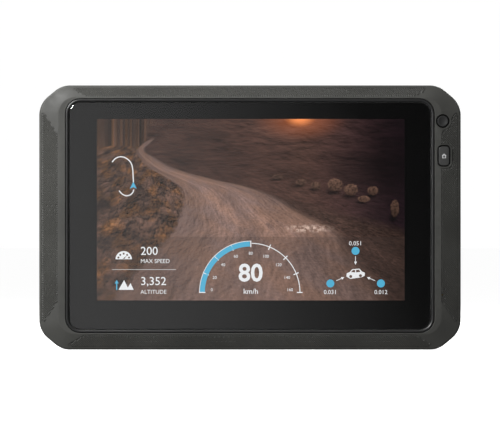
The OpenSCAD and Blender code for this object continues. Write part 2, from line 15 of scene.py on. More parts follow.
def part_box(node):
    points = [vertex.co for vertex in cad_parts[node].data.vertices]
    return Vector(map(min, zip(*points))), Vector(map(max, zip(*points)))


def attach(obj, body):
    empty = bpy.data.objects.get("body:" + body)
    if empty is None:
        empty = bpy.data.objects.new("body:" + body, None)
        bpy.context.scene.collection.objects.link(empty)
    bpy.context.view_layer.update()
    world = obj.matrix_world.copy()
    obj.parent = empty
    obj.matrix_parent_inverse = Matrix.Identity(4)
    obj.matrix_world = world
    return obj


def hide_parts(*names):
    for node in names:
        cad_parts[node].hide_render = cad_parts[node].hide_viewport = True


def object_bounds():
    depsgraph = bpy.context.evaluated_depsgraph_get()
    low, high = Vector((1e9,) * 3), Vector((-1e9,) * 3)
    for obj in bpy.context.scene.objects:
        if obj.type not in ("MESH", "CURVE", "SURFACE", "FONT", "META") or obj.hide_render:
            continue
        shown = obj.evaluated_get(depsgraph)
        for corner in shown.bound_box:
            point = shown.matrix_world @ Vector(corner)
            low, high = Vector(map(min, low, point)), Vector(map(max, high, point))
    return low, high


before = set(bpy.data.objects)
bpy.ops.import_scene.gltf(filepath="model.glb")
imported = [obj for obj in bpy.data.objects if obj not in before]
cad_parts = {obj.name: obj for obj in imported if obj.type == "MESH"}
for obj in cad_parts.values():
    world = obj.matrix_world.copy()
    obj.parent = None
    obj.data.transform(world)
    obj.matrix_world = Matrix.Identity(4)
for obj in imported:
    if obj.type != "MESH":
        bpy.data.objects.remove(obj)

CAD_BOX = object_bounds()
SCENE = bpy.context.scene

# ---------- sizes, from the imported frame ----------

LO, HI = CAD_BOX
CASE_W = (HI.x - LO.x) * 1000
CASE_H = (HI.z - LO.z) * 1000
RIM_Z = -LO.y * 1000
BACK_Z = -HI.y * 1000


def node_rect(name):
    """(centre x, centre y, width, height, lowest z, highest z) of a CAD node in the case frame, in mm."""
    lo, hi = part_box(name)
    lo, hi = lo * 1000, hi * 1000
    return ((lo.x + hi.x) / 2, (lo.z + hi.z) / 2 - CASE_H / 2, hi.x - lo.x, hi.z - lo.z, -hi.y, -lo.y)


GLASS_X, GLASS_Y, GLASS_W, GLASS_H, GLASS_BACK, GLASS_TOP = node_rect("cover_glass")
RING_X, RING_Y, RING_W, RING_H, RING_BACK, RING_TOP = node_rect("trim_ring")
SPLIT_Z = node_rect("front_bezel")[4]
GLASS_R = 5.8
RING_GAP = 0.25
RING_T = 1.4
POCKET_W, POCKET_H, POCKET_R = RING_W + 2 * RING_GAP, RING_H + 2 * RING_GAP, GLASS_R + RING_T + 2 * RING_GAP

# Cut corners of the case, and where the border's slope starts and ends.
CORNER_SIDE, CORNER_TOP, CORNER_R = 9.3, 11.2, 12.0
SLOPE_INSET, SLOPE_Z = 1.0, 10.35
PLATEAU = (191.6, 118.6, 8.5, 0.9)
PICTURE = (0.35, 3.9, 154.0, 90.8)


def row(p):
    """A point of the case frame, in mm, as a point of the row frame, in metres."""
    return Vector((p[0], -p[2], p[1] + CASE_H / 2)) * 0.001


# ---------- outlines ----------

def arc(cx, cy, r, a0, a1, n):
    return [(cx + r * math.cos(math.radians(a)),
             cy + r * math.sin(math.radians(a))) for a in np.linspace(a0, a1, n + 1)]


def mirrored(quarter):
    """A closed outline, anticlockwise, from its upper right quarter."""
    top = quarter + [(-x, y) for x, y in reversed(quarter)]
    return top + [(x, -y) for x, y in reversed(top)]


def spaced(points, step):
    """The same closed outline with no gap between points longer than step."""
    out = []
    for (x0, y0), (x1, y1) in zip(points, points[1:] + points[:1]):
        n = max(1, math.ceil(math.hypot(x1 - x0, y1 - y0) / step))
        out += [(x0 + (x1 - x0) * i / n, y0 + (y1 - y0) * i / n) for i in range(n)]
    return out


def case_outline(inset):
    """The cut-cornered outline of the case, moved inwards by inset."""
    turn = math.degrees(math.atan2(CORNER_TOP, CORNER_SIDE))
    half = math.tan(math.radians(turn / 2))
    other = math.tan(math.radians(45 - turn / 2))
    x, y, r = CASE_W / 2, CASE_H / 2, CORNER_R - inset
    quarter = arc(x - CORNER_R, y - CORNER_SIDE - CORNER_R * half, r, 0, turn, 12)
    quarter += arc(x - CORNER_TOP - CORNER_R * other, y - CORNER_R, r, turn, 90, 12)
    return mirrored(quarter)


def round_rect(w, h, r, cx=0.0, cy=0.0, n=10, step=None):
    points = [(cx + x, cy + y) for x, y in mirrored(arc(w / 2 - r, h / 2 - r, r, 0, 90, n))]
    return spaced(points, step) if step else points


def circle(r, cx, cy, n=40):
    return arc(cx, cy, r, 0, 360, n)[:-1]


# The side wall, unrolled: it is sampled about every WALL_PITCH mm round the outline.
WALL_PITCH = 2.0
WALL_BASE = np.array(case_outline(0))
WALL_STEP = np.array(case_outline(1)) - WALL_BASE
WALL_SPANS = np.linalg.norm(np.roll(WALL_BASE, -1, 0) - WALL_BASE, axis=1)
WALL_STARTS = np.concatenate([[0], np.cumsum(WALL_SPANS)])
WALL_LENGTH = WALL_STARTS[-1]
WALL_AT = [start + span * i / math.ceil(span / WALL_PITCH)
           for start, span in zip(WALL_STARTS, WALL_SPANS)
           for i in range(math.ceil(span / WALL_PITCH))]


def wall_point(u, inset):
    """The point at distance u round the case outline, moved inwards by inset."""
    u = u % WALL_LENGTH
    i = min(int(np.searchsorted(WALL_STARTS, u, side="right")) - 1, len(WALL_BASE) - 1)
    j = (i + 1) % len(WALL_BASE)
    t = (u - WALL_STARTS[i]) / WALL_SPANS[i]
    p, q = WALL_BASE[i] + WALL_STEP[i] * inset, WALL_BASE[j] + WALL_STEP[j] * inset
    return tuple(p + t * (q - p))


def wall_loop(inset):
    return [wall_point(u, inset) for u in WALL_AT]


def wall_place(u, z, rise):
    """A point of the unrolled side wall: u round the outline, z up, and rise outwards."""
    return (*wall_point(u, -rise), z)


def along_wall(x, y):
    """Distance round the outline of the point of the case side nearest to (x, y)."""
    best = min(range(len(WALL_BASE)), key=lambda i: segment_gap(i, x, y)[0])
    return WALL_STARTS[best] + segment_gap(best, x, y)[1] * WALL_SPANS[best]


def segment_gap(i, x, y):
    a, b = WALL_BASE[i], WALL_BASE[(i + 1) % len(WALL_BASE)]
    t = float(np.clip((np.array([x, y]) - a) @ (b - a) / WALL_SPANS[i] ** 2, 0, 1))
    return float(np.linalg.norm(a + t * (b - a) - [x, y])), t


def grown(points, by):
    """A smooth closed outline moved outwards by a small distance."""
    p = np.array(points)
    d = np.roll(p, -1, 0) - np.roll(p, 1, 0)
    d /= np.linalg.norm(d, axis=1)[:, None]
    area = 0.5 * np.sum(p[:, 0] * np.roll(p[:, 1], -1) - np.roll(p[:, 0], -1) * p[:, 1])
    out = np.stack([d[:, 1], -d[:, 0]], 1) * (1 if area > 0 else -1)
    return [tuple(q) for q in p + out * by]


def softened(corners, r, n=6):
    """A polygon whose corners are rounded with radius r."""
    out = []
    count = len(corners)
    for i in range(count):
        a, b, c = (Vector(corners[j % count]) for j in (i - 1, i, i + 1))
        u, v = (a - b).normalized(), (c - b).normalized()
        half = math.acos(max(-1, min(1, u.dot(v)))) / 2
        run = min(r / math.tan(half), (a - b).length * 0.45, (c - b).length * 0.45)
        rr = run * math.tan(half)
        centre = b + (u + v).normalized() * (rr / math.sin(half))
        s, e = b + u * run - centre, b + v * run - centre
        a0, a1 = math.atan2(s.y, s.x), math.atan2(e.y, e.x)
        turn = (a1 - a0 + math.pi) % (2 * math.pi) - math.pi
        out += [(centre.x + rr * math.cos(a0 + turn * k / n),
                 centre.y + rr * math.sin(a0 + turn * k / n)) for k in range(n + 1)]
    return out


def inside(points, outline):
    """Which of the points (an array) are inside the closed outline."""
    x, y = points[:, 0], points[:, 1]
    found = np.zeros(len(points), bool)
    q = np.array(outline)
    for (x0, y0), (x1, y1) in zip(q, np.roll(q, -1, 0)):
        if y0 == y1:
            continue
        cross = ((y0 > y) != (y1 > y)) & (x < (x1 - x0) * (y - y0) / (y1 - y0) + x0)
        found ^= cross
    return found


def distance(points, outline):
    """How far each point (an array) is from the closed outline's line."""
    q = np.array(outline, float)
    best = np.full(len(points), 1e9)
    for a, b in zip(q, np.roll(q, -1, 0)):
        d = b - a
        t = np.clip(((points - a) @ d) / max(d @ d, 1e-12), 0, 1)
        best = np.minimum(best, np.linalg.norm(points - a - t[:, None] * d, axis=1))
    return best


# ---------- mesh building ----------

class Solid:
    """Gathers the faces of one closed piece in the case frame."""

    def __init__(self):
        self.points, self.faces, self.index = [], [], {}

    def vertex(self, p):
        key = tuple(round(float(c), 4) for c in p)
        if key not in self.index:
            self.index[key] = len(self.points)
            self.points.append(key)
        return self.index[key]

    def face(self, corners, flip=False):
        ids = [self.vertex(p) for p in corners]
        ids = [v for i, v in enumerate(ids) if v != ids[i - 1]]
        if len(set(ids)) >= 3:
            self.faces.append(ids[::-1] if flip else ids)

    def strip(self, lower, upper, flip=False):
        """Quads between two loops of the same number of points."""
        n = len(lower)
        for i in range(n):
            j = (i + 1) % n
            self.face([lower[i], lower[j], upper[j], upper[i]], flip)

    def relief(self, outer, regions, height, grid=None, extra=(), flip=False, through=None, place=None):
        """The surface inside outer, made of triangles.

        Each region is (outline, which of its edges to leave out, height). The first region that holds a
        triangle sets its height, and the rest have height(points). Steps between regions get walls. A region
        with height None is an opening, whose walls go down to through: one value, or one for each region.
        place takes (x, y, height) to the case frame, for a surface that doesn't face the front or back."""
        place = place or (lambda x, y, z: (x, y, z))
        loops = [(outer, None)] + [(o, skip) for o, skip, _ in regions]
        verts, edges = [], []
        for loop, skip in loops:
            start, n = len(verts), len(loop)
            verts += [(float(x), float(y)) for x, y in loop]
            q = np.array(loop, float)
            middle = (q + np.roll(q, -1, 0)) / 2
            drop = skip(middle) if skip else np.zeros(n, bool)
            edges += [(start + i, start + (i + 1) % n) for i in range(n) if not drop[i]]
        more = list(extra)
        if grid:
            more += list(self.grid_points([loop for loop, _ in loops], grid))
        verts += [(float(x), float(y)) for x, y in more]
        got = delaunay_2d_cdt([Vector(v) for v in verts], edges, [], 0, 1e-5)
        p = np.array([tuple(v) for v in got[0]])
        tris = np.array([f for f in got[2] if len(f) == 3])
        middle = p[tris].mean(1)
        layer = np.full(len(tris), -1)
        for k, (outline, _, _) in reversed(list(enumerate(regions))):
            layer[inside(middle, outline)] = k
        layer[~inside(middle, outer)] = -2
        z = {-1: height(p)}
        for k, (_, _, rise) in enumerate(regions):
            z[k] = None if rise is None else (rise(p) if callable(rise) else np.full(len(p), float(rise)))
        sides = {}
        for t, k in zip(tris, layer):
            if k == -2:
                continue
            if z[k] is not None:
                self.face([place(*p[i], z[k][i]) for i in t], flip)
            for i, j in ((t[0], t[1]), (t[1], t[2]), (t[2], t[0])):
                sides.setdefault((min(i, j), max(i, j)), []).append((k, i, j))
        for pair in sides.values():
            if len(pair) != 2 or pair[0][0] == pair[1][0]:
                continue
            if z[pair[0][0]] is None:
                pair = pair[::-1]
            (k, i, j), (other, _, _) = pair
            if z[k] is None:
                continue
            if z[other] is None:
                low_i = low_j = through[other] if isinstance(through, dict) else through
            else:
                low_i, low_j = z[other][i], z[other][j]
            self.face([place(*p[j], z[k][j]), place(*p[i], z[k][i]), place(*p[i], low_i),
                       place(*p[j], low_j)], flip)

    @staticmethod
    def grid_points(loops, step):
        q = np.array(loops[0])
        xs = np.arange(q[:, 0].min() + step * 0.37, q[:, 0].max(), step)
        ys = np.arange(q[:, 1].min() + step * 0.41, q[:, 1].max(), step)
        g = np.stack(np.meshgrid(xs, ys), -1).reshape(-1, 2)
        g[:, 0] += np.where(np.arange(len(g)) // len(xs) % 2, step / 2, 0)
        g = g[inside(g, loops[0])]
        for loop in loops:
            g = g[distance(g, loop) > step * 0.4]
        return g

    def piece(self, name, material, body="case", sharp=28.0, smooth=True):
        mesh = bpy.data.meshes.new(name)
        mesh.from_pydata([row(p) for p in self.points], [], self.faces)
        mesh.validate()
        return finish_mesh(mesh, name, material, body, sharp, smooth)


def finish_mesh(mesh, name, material, body="case", sharp=28.0, smooth=True):
    bm = bmesh.new()
    bm.from_mesh(mesh)
    bmesh.ops.remove_doubles(bm, verts=bm.verts, dist=1e-7)
    bmesh.ops.recalc_face_normals(bm, faces=bm.faces)
    limit = math.radians(sharp)
    for f in bm.faces:
        f.smooth = smooth
    for e in bm.edges:
        if len(e.link_faces) == 2 and e.calc_face_angle(0.0) > limit:
            e.smooth = False
    bm.to_mesh(mesh)
    bm.free()
    obj = bpy.data.objects.new(name, mesh)
    SCENE.collection.objects.link(obj)
    obj.data.materials.append(material)
    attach(obj, body)
    return obj


def at(loop, z):
    """A flat outline at height z, where z is a number or a function of an array of points."""
    if callable(z):
        heights = z(np.array(loop))
        return [(x, y, float(h)) for (x, y), h in zip(loop, heights)]
    return [(x, y, z) for x, y in loop]


def level(z):
    """A height function for a flat surface."""
    return lambda p: np.full(len(p), float(z))


# ---------- materials ----------

class Nodes:
    """A short hand for building a node material."""

    def __init__(self, name):
        self.material = bpy.data.materials.new(name)
        self.material.use_nodes = True
        self.tree = self.material.node_tree
        self.shader = self.tree.nodes["Principled BSDF"]

    def add(self, kind, **settings):
        n = self.tree.nodes.new("ShaderNode" + kind)
        for key, value in settings.items():
            if key.startswith("in_"):
                slot = key[3:]
                n.inputs[int(slot) if slot.isdigit() else slot.replace("_", " ")].default_value = value
            else:
                setattr(n, key, value)
        return n

    def link(self, a, b):
        self.tree.links.new(a, b)

    def feed(self, socket, value):
        """Gives a socket a number, a colour or another node's output."""
        if isinstance(value, (int, float)):
            socket.default_value = value
        elif isinstance(value, tuple):
            opaque = len(value) == 3 and len(socket.default_value) == 4
            socket.default_value = (*value, 1) if opaque else value
        else:
            self.link(value, socket)

    def set(self, **sockets):
        for name, value in sockets.items():
            self.feed(self.shader.inputs[name.replace("_", " ")], value)

    def coords(self, scale=(1, 1, 1), offset=(0, 0, 0)):
        c = self.add("TexCoord")
        m = self.add("Mapping")
        m.inputs["Scale"].default_value = scale
        m.inputs["Location"].default_value = offset
        self.link(c.outputs["Object"], m.inputs["Vector"])
        return m.outputs[0]

    def noise(self, scale, detail=4.0, rough=0.55, vector=None, distortion=0.0):
        n = self.add("TexNoise", in_Scale=scale, in_Detail=detail, in_Roughness=rough,
                     in_Distortion=distortion)
        self.link(vector if vector is not None else self.coords(), n.inputs["Vector"])
        return n.outputs[0]

    def cells(self, scale, vector=None, feature="F1"):
        n = self.add("TexVoronoi", feature=feature, in_Scale=scale)
        self.link(vector if vector is not None else self.coords(), n.inputs["Vector"])
        return n

    def ramp(self, fac, stops):
        r = self.add("ValToRGB")
        e = r.color_ramp.elements
        for i, (pos, colour) in enumerate(stops):
            s = e[i] if i < 2 else e.new(pos)
            s.position = pos
            s.color = (*colour, 1) if len(colour) == 3 else colour
        self.link(fac, r.inputs[0])
        return r.outputs[0]

    def curve(self, value, points):
        """A smooth curve through points, each of them (value, result) from 0 to 1."""
        c = self.add("FloatCurve")
        line = c.mapping.curves[0]
        for i, (x, y) in enumerate(points):
            if i < 2:
                line.points[i].location = (x, y)
            else:
                line.points.new(x, y)
        c.mapping.update()
        self.link(value, c.inputs["Value"])
        return c.outputs[0]

    def math(self, op, a, b=None, c=None, clamp=False):
        m = self.add("Math", operation=op, use_clamp=clamp)
        for i, v in enumerate((a, b, c)):
            if v is not None:
                self.feed(m.inputs[i], v)
        return m.outputs[0]

    def mul(self, a, b):
        return self.math("MULTIPLY", a, b)

    def plus(self, a, b):
        return self.math("ADD", a, b)

    def minus(self, a, b):
        return self.math("SUBTRACT", a, b)

    def mul_add(self, a, b, c):
        return self.math("MULTIPLY_ADD", a, b, c)

    def vector(self, x, y, z=0.0):
        v = self.add("CombineXYZ")
        for i, value in enumerate((x, y, z)):
            self.feed(v.inputs[i], value)
        return v.outputs[0]

    def spread(self, value, low, high, to_low=0.0, to_high=1.0, smooth=False):
        m = self.add("MapRange", interpolation_type="SMOOTHSTEP" if smooth else "LINEAR")
        m.clamp = True
        for i, v in enumerate((value, low, high, to_low, to_high)):
            self.feed(m.inputs[i], v)
        return m.outputs[0]

    def mix(self, fac, a, b, blend="MIX"):
        m = self.add("Mix", data_type="RGBA", blend_type=blend)
        for slot, v in ((0, fac), (6, a), (7, b)):
            self.feed(m.inputs[slot], v)
        return m.outputs[2]

    def bump(self, height, strength, distance, normal=None):
        b = self.add("Bump", in_Strength=strength, in_Distance=distance)
        self.link(height, b.inputs["Height"])
        if normal is not None:
            self.link(normal, b.inputs["Normal"])
        return b.outputs[0]


def srgb(*c):
    """8 bit sRGB values as linear colour."""
    return tuple((v / 255 / 12.92) if v <= 10 else ((v / 255 + 0.055) / 1.055) ** 2.4 for v in c)


def tinted(colour, by):
    return tuple(min(1.0, v * by) for v in colour)


def moulded(name, base, rough=0.5, grain=0.05, mottle=0.12, grain_mm=0.22, wear=0.25, specular=0.5):
    """A moulded plastic: fine spark grain, slight mottling, and edges rubbed a little brighter."""
    n = Nodes(name)
    fine = n.noise(1000 / grain_mm, 3.0, 0.6)
    colour = n.ramp(n.noise(45, 5.0, 0.6),
                    [(0.35, tinted(base, 1 - mottle)), (0.65, tinted(base, 1 + mottle))])
    speck = n.ramp(fine, [(0.3, (0.86, 0.86, 0.86)), (0.7, (1.12, 1.12, 1.12))])
    colour = n.mix(1.0, colour, speck, "MULTIPLY")
    pointy = n.add("NewGeometry").outputs["Pointiness"]
    edge = n.mul(n.spread(pointy, 0.53, 0.62), n.spread(n.noise(400, 6.0, 0.7), 0.42, 0.62))
    colour = n.mix(n.mul(edge, wear), colour, tuple(min(1, v * 1.9 + 0.01) for v in base))
    n.set(Base_Color=colour, Roughness=n.spread(n.noise(160, 4.0, 0.6), 0.3, 0.7, rough - 0.06, rough + 0.07),
          Normal=n.bump(fine, grain, 0.0001), Specular_IOR_Level=specular)
    return n.material


def metal(name, base, rough=0.35, stretch=(1, 1, 14), scratch=0.15):
    """A drawn or stamped metal with fine directional lines and a little tarnish."""
    n = Nodes(name)
    lines = n.noise(1400, 3.0, 0.6, n.coords(stretch))
    colour = n.ramp(n.noise(110, 5.0, 0.6), [(0.3, tinted(base, 0.82)), (0.7, tinted(base, 1.08))])
    n.set(Base_Color=colour, Metallic=1.0, Roughness=n.spread(lines, 0.3, 0.7, rough - 0.1, rough + 0.12),
          Normal=n.bump(lines, scratch, 0.00005))
    return n.material


def rubber(name, base, rough=0.75):
    n = Nodes(name)
    fine = n.noise(3200, 4.0, 0.6)
    colour = n.ramp(n.noise(260, 4.0, 0.6), [(0.3, tinted(base, 0.85)), (0.7, tinted(base, 1.15))])
    n.set(Base_Color=colour, Roughness=n.spread(fine, 0.3, 0.7, rough - 0.08, rough + 0.1),
          Normal=n.bump(fine, 0.12, 0.0001))
    return n.material


def clear_glass(name, tint=(1, 1, 1)):
    """Cover glass: clear, with the faintest unevenness in its tint."""
    n = Nodes(name)
    colour = n.ramp(n.noise(30, 6.0, 0.65), [(0.3, tinted(tint, 0.985)), (0.7, tint)])
    n.set(Base_Color=colour, Transmission_Weight=1.0, IOR=1.5, Roughness=0.0)
    return n.material


def black_print(name):
    n = Nodes(name)
    fine = n.noise(900, 3.0, 0.5)
    n.set(Base_Color=n.ramp(fine, [(0.3, (0.0010, 0.0010, 0.0011)), (0.7, (0.0016, 0.0016, 0.0017))]),
          Specular_IOR_Level=0.0, Roughness=n.spread(fine, 0.3, 0.7, 0.8, 0.9))
    return n.material


def glow(name, colour, strength=1.0):
    """A lit mark on the picture; the display's rows show as a very fine variation."""
    n = Nodes(name)
    rows = n.add("TexWave", in_Scale=900.0, wave_type="BANDS", bands_direction="Z")
    n.link(n.coords(), rows.inputs["Vector"])
    n.set(Emission_Color=n.ramp(rows.outputs["Fac"], [(0.0, tinted(colour, 0.94)), (1.0, colour)]),
          Emission_Strength=strength, Base_Color=(0.0, 0.0, 0.0), Specular_IOR_Level=0.0)
    return n.material


def circuit(name):
    """Green solder mask over copper lines, with bright pads."""
    n = Nodes(name)
    tracks = n.add("TexBrick", in_Scale=260.0, in_Mortar_Size=0.06)
    n.link(n.coords((1, 1, 1)), tracks.inputs["Vector"])
    mask = n.ramp(n.noise(60, 3.0), [(0.3, (0.004, 0.045, 0.02)), (0.7, (0.007, 0.07, 0.03))])
    colour = n.mix(tracks.outputs["Fac"], mask, (0.03, 0.16, 0.07))
    n.set(Base_Color=colour, Roughness=n.spread(n.noise(500, 3.0), 0.3, 0.7, 0.28, 0.45),
          Normal=n.bump(tracks.outputs["Fac"], 0.2, 0.00005))
    return n.material


def woven_mesh(name):
    """A punched steel mesh in a dull plate: its rows of holes are painted near black, painted shade for the
    dark seen through them.
    """
    n = Nodes(name)
    cell = n.cells(1400, feature="F1")
    cell.inputs["Randomness"].default_value = 0.0
    hole = n.spread(cell.outputs["Distance"], 0.28, 0.36, 1.0, 0.0)
    # Painted shade: the hole mask mixes the plate towards near black where the perforations are, instead of
    # real openings.
    colour = n.mix(hole, n.ramp(n.noise(200, 4.0), [(0.3, (0.08, 0.08, 0.085)), (0.7, (0.13, 0.13, 0.135))]),
                   (0.003, 0.003, 0.003))
    n.set(Base_Color=colour, Metallic=0.8, Roughness=n.spread(n.noise(900, 3.0), 0.3, 0.7, 0.35, 0.55),
          Normal=n.bump(hole, -0.5, 0.0001))
    return n.material


# ---------- the picture on the display ----------

PICTURE_X0, PICTURE_Y0 = PICTURE[0] - PICTURE[2] / 2, PICTURE[1] - PICTURE[3] / 2
# Height in the picture, left edge and right edge of the dirt road, in mm.
ROAD = [(-41.5, -68.5, 66.5), (-38.5, -66.5, 65.0), (-28.0, -57.5, 58.0), (-17.5, -48.5, 50.0),
        (-7.0, -38.5, 42.5),
        (-1.5, -35.5, 33.0), (3.6, -34.0, 22.5), (8.9, -33.5, 14.5), (14.2, -34.5, 2.5), (19.4, -41.0, -19.5),
        (24.7, -50.0, -38.0), (30.0, -55.3, -47.5), (33.6, -56.6,
                                                     -52.6), (37.0, -53.6, -50.2), (39.6, -49.6, -47.6),
        (41.0, -47.8, -47.6)]
SKYLINE = 36.0
OVERLAY_TOP = -9.7
PICTURE_LEVEL = 1.08


class Landscape:
    """Builds the colour of a dirt road through stony hills at dusk, in millimetres of the case frame."""

    def __init__(self, nodes):
        self.n = n = nodes
        split = n.add("SeparateXYZ")
        n.link(n.coords((1000, 1000, 1000), (0, 0, -CASE_H / 2)), split.inputs[0])
        wobble = n.noise(220, 3.0, 0.6)
        self.x = n.plus(split.outputs[0], n.mul_add(wobble, 5.0, -2.5))
        self.y = split.outputs[2]
        self.exact_x = split.outputs[0]
        self.depth = n.plus(n.math("MAXIMUM", n.minus(SKYLINE, self.y), 0.0), 9.0)
        self.up = n.math("DIVIDE", n.minus(self.y, PICTURE_Y0), PICTURE[3])
        self.left, self.right = self.road_edge(1), self.road_edge(2)
        ahead = n.math("LOGARITHM", self.depth, math.e)
        self.ground = n.vector(n.math("DIVIDE", n.plus(self.exact_x, 50.0), self.depth), ahead)

    def road_edge(self, side):
        n = self.n
        points = [((row[0] - PICTURE_Y0) / PICTURE[3], (row[side] - PICTURE_X0) / PICTURE[2]) for row in ROAD]
        points[0] = (0.0, points[0][1])
        return n.mul_add(n.curve(self.up, points), PICTURE[2], PICTURE_X0)

    def patch(self, x, y, width, height, soft=1.0):
        """A round patch that is 1 in the middle and 0 at its rim."""
        n = self.n
        u = n.math("DIVIDE", n.minus(self.exact_x, x), width)
        v = n.math("DIVIDE", n.minus(self.y, y), height)
        far = n.math("SQRT", n.plus(n.mul(u, u), n.mul(v, v)))
        return n.spread(far, 1.0 - soft, 1.0, 1.0, 0.0, smooth=True)

    def lit(self, scale, detail, rough, vector, shift=(0.05, 0.06, 0.0)):
        """Relief lit from the upper right: the difference of one noise at two places."""
        n = self.n
        moved = n.add("Mapping")
        moved.inputs["Location"].default_value = shift
        n.link(vector, moved.inputs["Vector"])
        return n.minus(n.noise(scale, detail, rough, vector), n.noise(scale, detail, rough, moved.outputs[0]))

    def stones(self, scale, vector, strength):
        """How bright broken stones look: each has its own tone, a lit side and a dark gap round it."""
        n = self.n
        bent = n.add("Mix", data_type="VECTOR", in_0=0.12)
        n.link(vector, bent.inputs[4])
        warp = n.add("TexNoise", in_Scale=scale * 0.8, in_Detail=2.0)
        n.link(vector, warp.inputs["Vector"])
        n.link(warp.outputs["Color"], bent.inputs[5])
        cell = n.cells(scale, bent.outputs[1])
        edge = n.cells(scale, bent.outputs[1], "DISTANCE_TO_EDGE")
        tone = n.add("SeparateColor")
        n.link(cell.outputs["Color"], tone.inputs[0])
        gap = n.spread(edge.outputs["Distance"], 0.0, 0.16, 0.25, 1.0)
        slope = n.minus(self.part(bent.outputs[1], 1), self.part(cell.outputs["Position"], 1))
        shade = n.mul_add(tone.outputs[0], 0.9, 0.35)
        shade = n.plus(shade, n.mul(slope, -strength * scale))
        return n.mul(n.math("MAXIMUM", shade, 0.12), gap)

    def part(self, vector, axis):
        split = self.n.add("SeparateXYZ")
        self.n.link(vector, split.inputs[0])
        return split.outputs[axis]

    def scaled(self, colour, by):
        """A colour times a number from a node."""
        n = self.n
        grey = n.add("CombineColor")
        for i in range(3):
            n.link(by, grey.inputs[i])
        return n.mix(1.0, colour, grey.outputs[0], "MULTIPLY")

    def slope(self):
        """The stony bank on the left."""
        n = self.n
        big = self.stones(9.0, self.ground, 0.55)
        small = self.stones(24.0, self.ground, 0.45)
        shade = n.plus(n.mul(big, 0.62), n.mul(small, 0.5))
        clumps = n.spread(n.noise(3.2, 3.0, 0.6, self.ground), 0.36, 0.6, 0.35, 1.35)
        shade = n.mul(shade, clumps)
        shade = n.plus(shade, n.mul(self.lit(30, 5.0, 0.7, self.ground, (0.01, 0.014, 0)), 1.8))
        warm = n.spread(n.noise(5.0, 2.0, 0.5, self.ground), 0.45, 0.62)
        colour = n.mix(warm, srgb(92, 68, 57), srgb(108, 72, 42))
        dusk = n.spread(self.y, 28.0, 46.0, 1.0, 0.55, smooth=True)
        hollow = n.mul_add(self.patch(-73.0, 8.0, 10.0, 11.0, 0.9), -0.6, 1.0)
        return self.scaled(colour, n.mul(n.mul(shade, 1.12), n.mul(dusk, hollow)))

    def hills(self):
        """Scrub covered slopes, from the sun at the top to dusk on the right."""
        n = self.n
        tilt = n.vector(n.plus(n.mul(self.exact_x, 0.045), n.mul(self.y, 0.05)),
                        n.minus(n.mul(self.y, 0.14), n.mul(self.exact_x, 0.012)))
        ridge = n.noise(1.3, 6.0, 0.68, tilt, 0.35)
        relief = self.lit(2.4, 9.0, 0.74, tilt, (0.05, 0.09, 0.0))
        scrub = self.lit(13.0, 5.0, 0.72, tilt, (0.02, 0.035, 0.0))
        shade = n.plus(n.spread(ridge, 0.32, 0.68, 0.45, 1.3), n.mul(relief, 2.3))
        shade = n.plus(shade, n.mul(scrub, 1.5))
        near = n.mul(self.stones(20.0, self.ground, 0.4), n.spread(self.y, 6.0, 30.0, 0.8, 0.0))
        shade = n.math("MAXIMUM", n.plus(n.mul(shade, 0.85), near), 0.05)
        dusk = n.spread(self.exact_x, 28.0, 76.0)
        colour = n.mix(dusk, srgb(70, 48, 41), srgb(46, 28, 36))
        fall = n.spread(self.exact_x, 34.0, 78.0, 1.0, 0.28, smooth=True)
        glow_ring = n.mul_add(self.patch(22.0, 50.0, 62.0, 34.0), 0.75, 1.0)
        shadow = n.mul_add(self.patch(66.0, 24.0, 34.0, 16.0, 0.8), -0.4, 1.0)
        dim = n.mul(n.mul(fall, glow_ring), shadow)
        return self.scaled(colour, n.mul(shade, dim))

    def verge(self):
        """The stony ground on the right of the road."""
        n = self.n
        shade = n.mul_add(self.stones(26.0, self.ground, 0.35), 0.55, 0.35)
        shade = n.plus(shade, n.mul(self.lit(40, 5.0, 0.7, self.ground, (0.008, 0.012, 0)), 1.5))
        clumps = n.spread(n.noise(4.0, 4.0, 0.6, self.ground), 0.35, 0.65, 0.7, 1.3)
        fall = n.spread(self.exact_x, 40.0, 78.0, 1.1, 0.5)
        lift = n.spread(self.y, 12.0, -22.0, 0.75, 1.25)
        return self.scaled(srgb(80, 58, 50), n.mul(n.mul(shade, clumps), n.mul(fall, lift)))

    def road(self):
        """Packed dirt with wheel tracks that follow the road."""
        n = self.n
        width = n.minus(self.right, self.left)
        across = n.math("DIVIDE", n.minus(self.exact_x, self.left), width)
        lane = n.vector(across, n.mul(self.part(self.ground, 1), 0.35))
        streaks = self.lit(26.0, 6.0, 0.66, lane, (0.012, 0.004, 0.0))
        tracks = n.noise(7.0, 4.0, 0.6, lane)
        grit = self.lit(60.0, 5.0, 0.75, self.ground, (0.006, 0.009, 0.0))
        pebbles = self.stones(70.0, self.ground, 0.3)
        shade = n.plus(n.spread(tracks, 0.3, 0.7, 0.72, 1.26), n.mul(streaks, 1.5))
        shade = n.plus(shade, n.mul(grit, 1.3))
        shade = n.mul(shade, n.mul_add(pebbles, 0.3, 0.76))
        profile = n.curve(across, [(0.0, 0.52), (0.08, 0.60), (0.2, 0.66), (0.3, 0.86), (0.42, 0.84),
                                   (0.5, 0.70), (0.6, 0.88), (0.68, 0.82), (0.8, 0.66), (0.92, 0.60),
                                   (1.0, 0.48)])
        far = n.spread(self.y, 14.0, 34.0, 1.0, 0.62)
        colour = n.mix(n.spread(n.noise(3.0, 3.0, 0.6, self.ground), 0.4, 0.6), srgb(144, 111, 96),
                       srgb(134, 108, 100))
        shade = n.mul(shade, n.mul(n.mul(profile, 1.26), far))
        return self.scaled(colour, shade)

